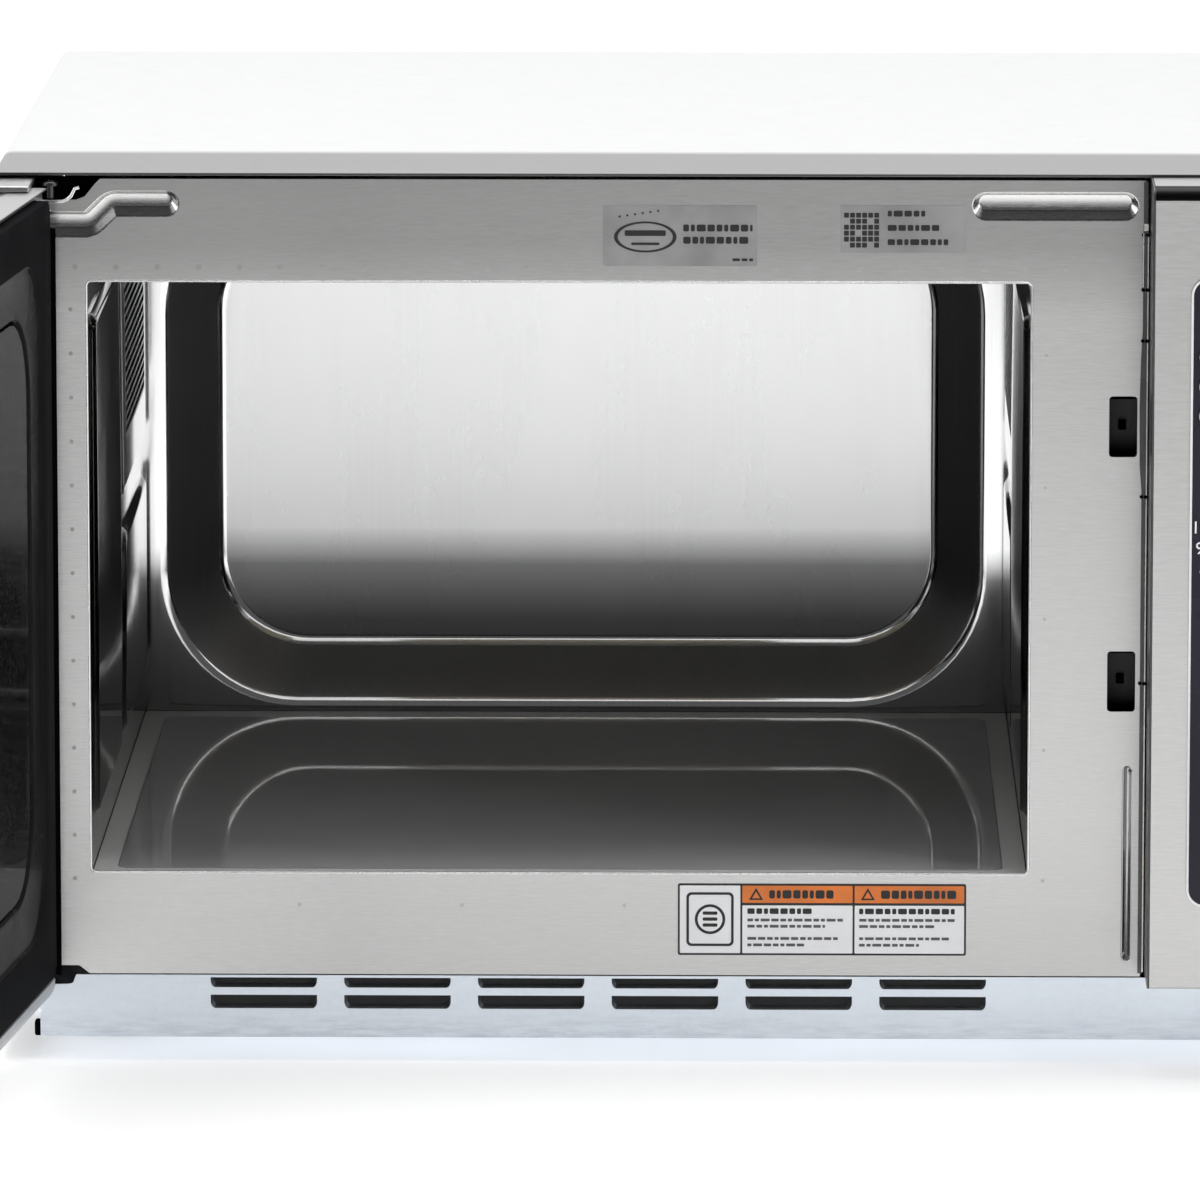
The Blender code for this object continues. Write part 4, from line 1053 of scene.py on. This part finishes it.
def make_gap_strip():
    """What shows between the front frame and the control panel: a strip of painted shade, tabs and holes."""
    outline = [(170.0, 36.0), (170.0, 228.0), (169.2, 238.0), (169.0, 262.0), (169.4, 280.0), (170.0, 292.0),
               (170.0, 350.0), (171.7, 350.0), (171.7, 36.0)]
    form = slab([outline], "Y", -0.5, -0.1)
    piece("gap_strip", form, "gap_steel")
    tabs = bmesh.new()
    add_box(tabs, (170.2, -0.9, 330.8), (172.0, -0.5, 333.6))
    add_box(tabs, (171.6, -1.0, 36.6), (172.2, -0.5, 330.0))
    add_box(tabs, (169.8, -0.8, 308.6), (170.3, -0.5, 330.0))
    piece("gap_tabs", tabs, "zinc", edge=(0.12, 2))
    # The holes are near-black disks of painted shade.
    dots = bmesh.new()
    for height in (329.2, 307.6, 287.5, 226.0, 152.0):
        add_slab(dots, [circle(170.0, height, 0.75, 12)], "Y", -0.62, -0.5)
        add_slab(dots, [circle(171.6, height, 0.75, 12)], "Y", -1.1, -1.0)
    piece("gap_holes", dots, "hole_black")


# ---------------------------------------------------------------- hinge corner

def strip_along(form, points, low_y, high_y, thick):
    """A thin bent strip following points in the XZ plane."""
    rings = []
    points = [Vector((x, 0, z)) for x, z in points]
    for index, point in enumerate(points):
        ahead = points[min(index + 1, len(points) - 1)] - points[max(index - 1, 0)]
        side = Vector((-ahead.z, 0, ahead.x)).normalized() * thick / 2
        near, far = point - side, point + side
        rings.append([(near.x, low_y, near.z), (far.x, low_y, far.z), (far.x, high_y, far.z),
                      (near.x, high_y, near.z)])
    add_rings(form, rings, close_first=True, close_last=True)


def add_screw(form, centre, axis, radius, sign=1.0):
    """A pan-head screw with a recess, its head standing proud along the axis."""
    profile = [(1.0, -0.4), (1.0, 0.5), (0.92, 0.95), (0.7, 1.35), (0.42, 1.55), (0.38, 0.9), (0.02, 0.75)]
    add_turned(form, [(radius * share, rise * sign) for share, rise in profile], centre, axis, 20)


def make_hinge_corner():
    """Bracket plate, curled clip and screw in the frame's notch, and the upper hinge's bracket."""
    form = bmesh.new()
    curl = [(-262.6, 341.2), (-256.0, 341.4), (-251.4, 341.5), (-249.4, 342.3), (-247.8, 343.6),
            (-246.9, 345.4), (-246.3, 346.6), (-244.6, 347.0)]
    strip_along(form, curl, -0.8, -0.05, 1.3)
    strip_along(form, [(-259.4, 341.0), (-259.4, 338.2), (-255.8, 338.0)], -0.7, -0.05, 0.7)
    piece("hinge_bracket", clean(form), "bright_zinc", edge=(0.2, 2))
    screw = bmesh.new()
    under_head = (-256.0, 1.8, 348.0)
    add_screw(screw, under_head, "Z", 3.3)
    add_turned(screw, [(1.6, -5.4), (1.6, 0.0)], under_head, "Z", 14)
    # The screw in the notch is dark steel of painted shade.
    piece("hinge_screw", clean(screw), "gap_steel")
    bracket = bmesh.new()
    add_box(bracket, (-277.5, -26.0, 348.3), (-262.5, 18.0, 350.5))
    pin = [(0.05, 0.0), (3.2, 0.0), (4.0, 1.0), (4.0, 17.0)]
    add_turned(bracket, pin, (-270.0, -17.0, 332.0), "Z", 28)
    bracket = clean(bracket)
    piece("upper_hinge_bracket", bracket, "side_steel", "cabinet", ["upper_hinge"], edge=(0.5, 3))


# ---------------------------------------------------------------- door

SKIN = (-278.6, 27.9, 170.0, 347.2)
COVER = (-267.5, 38.0, 157.0, 345.0)
STEP = (-246.0, 60.0, 136.0, 325.0)
GLASS = (-226.0, 80.0, 113.0, 307.0)
HOOK_SLOT_LOWS = (144.5, 245.5)


def make_door_cover():
    """The black moulded cover: a rim, a slope to a step, and a slope to the glass."""
    profile = [
        # box, how far it is let out, corner radius, depth
        (COVER, -0.6, 5.0, -9.4), (COVER, 0.0, 5.0, -9.4), (COVER, 0.0, 5.0, -1.9),
        (COVER, -0.25, 5.0, -1.3), (COVER, -0.9, 5.0, -1.0),
        (STEP, 1.0, 32.0, -1.0), (STEP, 0.4, 31.4, -1.1), (STEP, 0.0, 31.0, -1.4),
        (STEP, -0.6, 30.4, -2.0), (STEP, -1.4, 29.6, -2.2),
        (GLASS, 2.6, 37.6, -2.2), (GLASS, 1.4, 36.4, -2.3), (GLASS, 0.7, 35.7, -2.7),
        (GLASS, 0.3, 35.3, -3.4), (GLASS, 0.3, 35.3, -9.4), (GLASS, 1.2, 36.2, -9.4),
    ]
    rings = []
    for box, reach, radius, depth in profile:
        rings.append(at_depth(rounded(*grown(box, reach), radius, 14), depth))
    rings.append(rings[0])
    kinds = [1 if 6 <= index <= 13 else 0 for index in range(len(profile))]
    form = bmesh.new()
    add_rings(form, rings, kinds)
    finishes = ["cover_black", "step_black"]
    piece("door_cover", clean(form), finishes, "door", ["choke_cover"], 50)


def make_door_folds():
    """The skin's folded flap over the cover's top and its curled hem below."""
    flap = [(-278.4, -12.4), (-262.5, -12.4), (-262.5, -17.2), (168.0, -17.2), (168.0, -4.6), (-278.4, -4.6)]
    fold = slab([flap], "Z", 347.3, 347.95)
    piece("door_top_fold", fold, "top_steel", "door", edge=(0.2, 2))
    lip = bmesh.new()
    section = [(-1.7, 36.9), (-1.8, 34.4), (-2.4, 32.2), (-3.6, 30.2), (-5.4, 28.9), (-7.6, 28.4)]
    back = [(y - 0.6, z + 0.5) for y, z in reversed(section)]
    loop = section + back + section[:1]
    add_rings(lip, [[(-267.0, y, z), (160.0, y, z)] for y, z in loop], wrap=False)
    for x in (-267.0, 160.0):
        lip.faces.new([lip.verts.new((x, y, z)) for y, z in section + back])
    piece("door_bottom_fold", clean(lip), "hem_steel", "door", smooth=50)


def make_window_border():
    """The black print round the door's window."""
    outlines = [rounded(-213.6, 73.4, 100.6, 313.6, 10.0, 8), rounded(-201.5, 85.5, 88.5, 301.5, 12.0, 8)]
    form = slab(outlines, "Y", -34.1, -33.7)
    piece("window_border", form, "cover_black", "door")


def make_hem():
    """The skin's folded hem round the black cover, with slots for the hooks."""
    form = bmesh.new()
    holes = [rounded(*grown(COVER, 0.35), 5.3, 6)]
    holes += [rounded(159.2, low, 166.4, low + 21.5, 1.2, 4) for low in HOOK_SLOT_LOWS]
    add_slab(form, [rounded(*SKIN, 1.6, 4)] + holes, "Y", -7.3, -6.3)
    piece("door_hem", form, "hem_steel", "door", edge=(0.35, 2))


def make_handle():
    """A bent round bar with collars where it meets the skin."""
    x, foot, reach, radius = 146.0, -35.3, -59.0, 6.0
    low, high = 72.0, 300.0
    corners = [(x, foot, low), (x, reach, low), (x, reach, high), (x, foot, high)]
    line = [corners[0]] + bend(*corners[:3], 13.0, 12) + bend(*corners[1:], 13.0, 12) + [corners[3]]
    form = bmesh.new()
    add_pipe(form, line, radius, 28)
    form = clean(form)
    piece("handle_bar", form, "upright_steel", "door", ["door_handle"], 50, (0.4, 2))
    collars = bmesh.new()
    profile = [(6.1, 0.0), (9.0, 0.0), (9.0, 1.1), (8.4, 1.7), (6.1, 1.9)]
    for height in (low, high):
        add_turned(collars, profile, (x, foot + 0.25, height), "Y", 32)
    piece("handle_collars", clean(collars), "side_steel", "door")


# ---------------------------------------------------------------- control panel

PANEL_LEFT, PANEL_RIGHT, PANEL_LOW, PANEL_HIGH = 172.7, 279.5, 35.8, 351.7
PANEL_FACE = -31.0
KEY_SPOTS = {"top_key": 285.5, "middle_key": 274.0, "bottom_key": 262.5}
KEY_X = 195.0
KEYPAD_FACE = -31.9
DIAL_X, DIAL_Z = 226.0, 112.0


def panel_section(wall):
    """The panel's side outline in depth and height, wall millimetres in."""
    top, low = 5.2 - wall, 1.6
    points = [(-0.6, PANEL_HIGH - wall)]
    points += arc(PANEL_FACE + 5.2, PANEL_HIGH - 5.2, top, 90, 180, 8)
    points += arc(PANEL_FACE + wall + low, PANEL_LOW + wall + low, low, 180, 270, 4)
    points.append((-0.6, PANEL_LOW + wall))
    return points


def make_panel():
    """Folded stainless panel: round top bend, flat face and two side cheeks."""
    form = bmesh.new()
    outer, inner = panel_section(0.0), panel_section(1.2)
    loop = outer + list(reversed(inner))
    left, right = PANEL_LEFT + 0.9, PANEL_RIGHT - 0.9
    # The top bend takes a near-black steel of painted shade.
    kinds = [1 if 1 <= index <= 8 else 0 for index in range(len(loop))]
    add_rings(form, [[(left, y, z), (right, y, z)] for y, z in loop + loop[:1]], kinds, wrap=False)
    face = piece("panel_face", clean(form), ["panel_front", "bend_painted_shade_steel"],
                 stands_for=["control_panel"], smooth=40)
    cutter = bmesh.new()
    holes = [circle(KEY_X, height, 4.6, 24) for height in KEY_SPOTS.values()]
    holes.append(circle(DIAL_X, DIAL_Z, 4.0, 24))
    add_slab(cutter, holes, "Y", PANEL_FACE - 1, PANEL_FACE + 2)
    drill(face, cutter)
    # The cheeks are dark steel of painted shade.
    cheeks = bmesh.new()
    for low in (PANEL_LEFT, PANEL_RIGHT - 0.8):
        add_slab(cheeks, [panel_section(0.0)], "X", low, low + 0.8)
    piece("panel_cheeks", cheeks, "gap_steel", edge=(0.2, 2))


def drill(item, form):
    """Cut a bmesh's solids out of an object."""
    tool = in_scene("drill", placed_mesh("drill", form))
    cut = item.modifiers.new("holes", "BOOLEAN")
    cut.object = tool
    cut.operation = "DIFFERENCE"
    cut.solver = "EXACT"
    made = final_mesh(item)
    item.modifiers.clear()
    item.data = made
    item.modifiers.new("shading", "WEIGHTED_NORMAL").keep_sharp = True
    bpy.data.objects.remove(tool, do_unlink=True)


def add_text(form, words, size, left, height, depth):
    """Numerals standing on a face that looks along -Y, from their left edge at mid height."""
    curve = bpy.data.curves.new("numeral", "FONT")
    curve.body = words
    curve.size = size
    curve.align_x = "LEFT"
    curve.align_y = "CENTER"
    curve.extrude = 0.03
    curve.resolution_u = 4
    mesh = drawn_mesh(curve, "Y", (left, depth, height))
    form.from_mesh(mesh)
    bpy.data.meshes.remove(mesh)


def print_keypad(form, outlines, material, rise=0.08):
    """Flat print on the keypad strip, rise millimetres proud of it."""
    add_slab(form, outlines, "Y", KEYPAD_FACE - rise, KEYPAD_FACE + 0.05, material)


def add_dial_ticks(form):
    """Ticks round the dial, every fourth one longer."""
    centre = Vector((DIAL_X, DIAL_Z))
    for index in range(25):
        angle = math.radians(-60 + 300 * index / 24)
        way = Vector((math.cos(angle), math.sin(angle)))
        side = Vector((-way.y, way.x)) * 0.25
        inner = centre + way * 25.4
        outer = centre + way * (28.6 if index % 4 == 0 else 27.2)
        outline = [inner - side, outer - side, outer + side, inner + side]
        print_keypad(form, [[tuple(point) for point in outline]], 0)


def make_keypad_marks():
    """White outline, green rule, numbered lamp column, dashes and the dial's ticks."""
    ink = bmesh.new()
    outlines = [rounded(187.6, 68.8, 264.6, 316.7, 7.1, 10), rounded(188.5, 69.7, 263.7, 315.8, 6.2, 10)]
    print_keypad(ink, outlines, 0, 0.12)
    print_keypad(ink, [rounded(191.6, 295.8, 260.0, 296.5, 0.3, 3)], 1, 0.1)
    for index in range(10):
        height = 144.9 + 8.2 * index
        left = 188.3 + 1.65 * (9 - index)
        add_text(ink, str(index + 1), 6.9, left, height, KEYPAD_FACE - 0.06)
        print_keypad(ink, [circle(left + 9.2, height, 1.25, 16)], 2, 0.1)
        for mark in range(3):
            start = 214.0 + 14.0 * mark
            end = start + 11.0 - 2.5 * ((index + mark) % 3)
            print_keypad(ink, [rounded(start, height - 0.5, end, height + 0.5, 0.4, 3)], 3)
    for index, height in enumerate(KEY_SPOTS.values()):
        print_keypad(ink, [rounded(203.0, height - 0.7, 226.0 + 5 * index, height + 0.7, 0.6, 3)], 0)
    add_dial_ticks(ink)
    piece("keypad_print", ink, ["ink_white", "ink_green", "ink_orange", "ink_grey"])
    make_key_faces()


def make_key_faces():
    """The three keys' pale caps and their plain symbols, riding on the keys."""
    profile = [(0.02, 1.35), (3.4, 1.3), (3.95, 1.1), (4.1, 0.8), (4.1, 0.4)]
    for index, (body, height) in enumerate(KEY_SPOTS.items()):
        cap = bmesh.new()
        add_turned(cap, profile, (KEY_X, KEYPAD_FACE, height), "Y", 32)
        piece(f"key_cap_{index + 1}", clean(cap), "key_face", body)
        triangle = [(KEY_X - 1.6, height - 1.8), (KEY_X + 2.6, height), (KEY_X - 1.6, height + 1.8)]
        ring = [circle(KEY_X, height, 1.9, 24), circle(KEY_X, height, 1.2, 24)]
        bars = [[rounded(KEY_X - 2.0, height + low, KEY_X + 2.0, height + low + 0.7, 0.2, 2)]
                for low in (-1.7, -0.35, 1.0)]
        mark = bmesh.new()
        for outlines in ([[triangle]], [ring], bars)[index]:
            add_slab(mark, outlines, "Y", KEYPAD_FACE - 1.5, KEYPAD_FACE - 1.3)
        piece(f"key_mark_{index + 1}", mark, "ink_black", body)


def make_dial_marks():
    """The dial's white pointer."""
    near = (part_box("dial_knob")[0].y - ORIGIN.y) / MM
    outline = rounded(DIAL_X - 0.9, DIAL_Z + 7.0, DIAL_X + 0.9, DIAL_Z + 17.0, 0.8, 4)
    pointer = slab([outline], "Y", near - 0.15, near + 0.1)
    piece("dial_pointer", pointer, "ink_white", "dial")


# ---------------------------------------------------------------- labels

def print_label(form, outlines, depth, material, behind=0.05):
    """Flat print just in front of a depth."""
    add_slab(form, outlines, "Y", depth - 0.06, depth + behind, material)


def text_row(form, left, right, low, height, seed, depth, material):
    """A row of short dashes that stands for print."""
    at = left
    step = 0
    while at < right - 1.0:
        width = 1.6 + 1.9 * ((step * 7 + seed) % 4) / 3
        end = min(at + width, right)
        print_label(form, [rounded(at, low, end, low + height, height * 0.2, 2)], depth, material, 0.02)
        at = end + 0.7
        step += 1


def make_labels():
    """Three generic labels on the front frame."""
    make_service_label()
    make_serial_label()
    make_notice()


def make_service_label():
    """A clear film with an oval emblem, a bow of dots and two rows of print."""
    depth = -0.22
    form = slab([rounded(-40.5, 316.6, 19.6, 340.4, 1.0, 4)], "Y", depth + 0.04, 0.02, 0)
    turns = [2 * math.pi * step / 36 for step in range(36)]
    oval = [[(-24.0 + 12.2 * reach * math.cos(turn), 328.0 + 6.1 * reach * math.sin(turn)) for turn in turns]
            for reach in (1.0, 0.88)]
    print_label(form, oval, depth, 1)
    print_label(form, [rounded(-32.0, 328.4, -16.0, 330.6, 0.5, 3)], depth, 1)
    print_label(form, [rounded(-29.5, 324.8, -18.5, 325.8, 0.3, 3)], depth, 1)
    for index in range(6):
        print_label(form, [circle(-34.0 + 3.0 * index, 336.0 + 0.45 * index, 0.45, 10)], depth, 1)
    rows = ((-9.2, 17.8, 330.2, 2.7, 1), (-9.2, 17.8, 325.4, 2.7, 6), (10.0, 18.0, 318.6, 1.0, 2))
    for row in rows:
        text_row(form, *row, depth, 1)
    piece("service_label", form, ["film", "ink_black"])


def make_serial_label():
    """A clear film with a plain block of squares and three rows of print."""
    depth = -0.22
    form = slab([rounded(52.0, 322.0, 101.0, 340.6, 0.8, 4)], "Y", depth + 0.04, 0.02, 0)
    for column in range(6):
        for row in range(6):
            if (column * 5 + row * 3 + column * row) % 4 == 0:
                continue
            left, low = 53.4 + 2.35 * column, 324.0 + 2.35 * row
            print_label(form, [rounded(left, low, left + 1.9, low + 1.9, 0.2, 2)], depth, 1)
    for right, low, seed in ((86.0, 336.2, 0), (92.0, 330.6, 3), (94.0, 325.0, 2)):
        text_row(form, 70.4, right, low, 2.3, seed, depth, 1)
    piece("serial_label", form, ["film", "ink_black"])


def make_notice():
    """A plain white and orange notice with dashes for print."""
    depth = -0.24
    form = slab([rounded(-11.0, 42.8, 102.5, 71.5, 0.8, 4)], "Y", depth + 0.05, 0.02, 1)
    fields = [(-10.2, 43.6, 13.6, 70.7, 0), (14.4, 43.6, 57.8, 62.8, 0), (58.6, 43.6, 101.7, 62.8, 0),
              (14.4, 63.8, 57.8, 70.7, 2), (58.6, 63.8, 101.7, 70.7, 2)]
    for left, low, right, high, material in fields:
        add_slab(form, [rounded(left, low, right, high, 0.4, 3)], "Y", depth - 0.02, depth + 0.1, material)
    front = depth - 0.04
    for left in (17.0, 61.0):
        outer = [(left, 65.0), (left + 5.6, 65.0), (left + 2.8, 69.8)]
        inner = [(left + 1.2, 65.7), (left + 4.4, 65.7), (left + 2.8, 68.4)]
        print_label(form, [outer], front, 1)
        add_slab(form, [inner], "Y", front - 0.1, front, 2)
    rows = ((25.0, 52.0, 65.6, 3.3, 1), (69.0, 99.0, 65.6, 3.3, 3),
            (16.4, 42.0, 59.4, 2.2, 2), (60.4, 98.0, 59.4, 2.2, 0))
    for row in rows:
        text_row(form, *row, front, 1)
    for left, seed in ((16.4, 1), (60.4, 2)):
        for step, (low, length) in enumerate(((56.4, 37.6), (53.9, 30.6), (49.0, 35.6), (46.4, 23.6))):
            text_row(form, left, left + length, low, 1.1, seed + step, front, 3)
    border = [rounded(-7.6, 46.4, 11.0, 68.0, 2.0, 6), rounded(-6.6, 47.4, 10.0, 67.0, 1.2, 6)]
    print_label(form, border, front, 1)
    print_label(form, [circle(1.7, 57.2, 6.0, 32), circle(1.7, 57.2, 4.9, 32)], front, 1)
    for height in (54.2, 56.6, 59.0):
        print_label(form, [rounded(-1.2, height, 4.6, height + 1.3, 0.5, 3)], front, 1)
    piece("notice_label", form, ["paper", "ink_black", "ink_orange", "ink_grey"])


# ---------------------------------------------------------------- sides and back

def make_case_details():
    """A painted shadow strip along the wrap's front edge, side screws and louvre hoods."""
    # Painted shadow: a dark strip along the wrap's front edge.
    edge = bmesh.new()
    add_box(edge, (-275.6, -0.3, 351.95), (275.6, 0.0, 352.55))
    piece("wrap_edge_shadow", edge, "gap_steel")
    screws = bmesh.new()
    for y, z in ((22.0, 26.0), (205.0, 26.0), (396.0, 26.0), (396.0, 332.0)):
        add_screw(screws, (279.4, y, z), "X", 3.4)
        add_screw(screws, (-279.4, y, z), "X", 3.4, -1.0)
    piece("case_screws", clean(screws), "zinc")
    hoods = bmesh.new()
    for side in (-1, 1):
        for index in range(8):
            z = 60.0 + 8.0 * index
            rings = []
            for rise, drop in ((-0.3, 3.9), (0.35, 3.5), (1.3, 2.3), (1.7, 1.0), (1.5, 0.6)):
                x = side * (279.5 + rise)
                rings.append([(x, 300.5, z + drop), (x, 369.5, z + drop)])
            add_rings(hoods, rings, wrap=False)
    piece("side_vent_hoods", hoods, "side_steel", smooth=60)


def make_back_details():
    """Screws round the rear panel and a plain rating plate."""
    screws = bmesh.new()
    for x in (-268.0, -90.0, 90.0, 268.0):
        add_screw(screws, (x, 417.9, 342.0), "Y", 3.4, -1.0)
    for x, z in ((-268.0, 200.0), (-268.0, 24.0), (268.0, 24.0), (150.0, 24.0), (-90.0, 24.0)):
        add_screw(screws, (x, 417.9, z), "Y", 3.4, -1.0)
    piece("back_screws", clean(screws), "zinc")
    plate = slab([rounded(-120.0, 236.0, -10.0, 306.0, 2.0, 5)], "Y", 417.9, 418.25, 0)
    for index in range(7):
        left, low = -112.0 + 6.0 * (index % 3), 244.0 + 8.0 * index
        add_slab(plate, [rounded(left, low, -20.0, low + 2.2, 0.6, 3)], "Y", 418.2, 418.32, 1)
    piece("rating_plate", plate, ["film", "ink_black"])


make_camera()
make_studio()
make_finishes()
finish_nodes()
make_front_frame()
make_cavity()
make_base()
make_gap_strip()
make_hinge_corner()
make_door_cover()
make_hem()
make_door_folds()
make_window_border()
make_handle()
make_panel()
make_keypad_marks()
make_dial_marks()
make_labels()
make_case_details()
make_back_details()
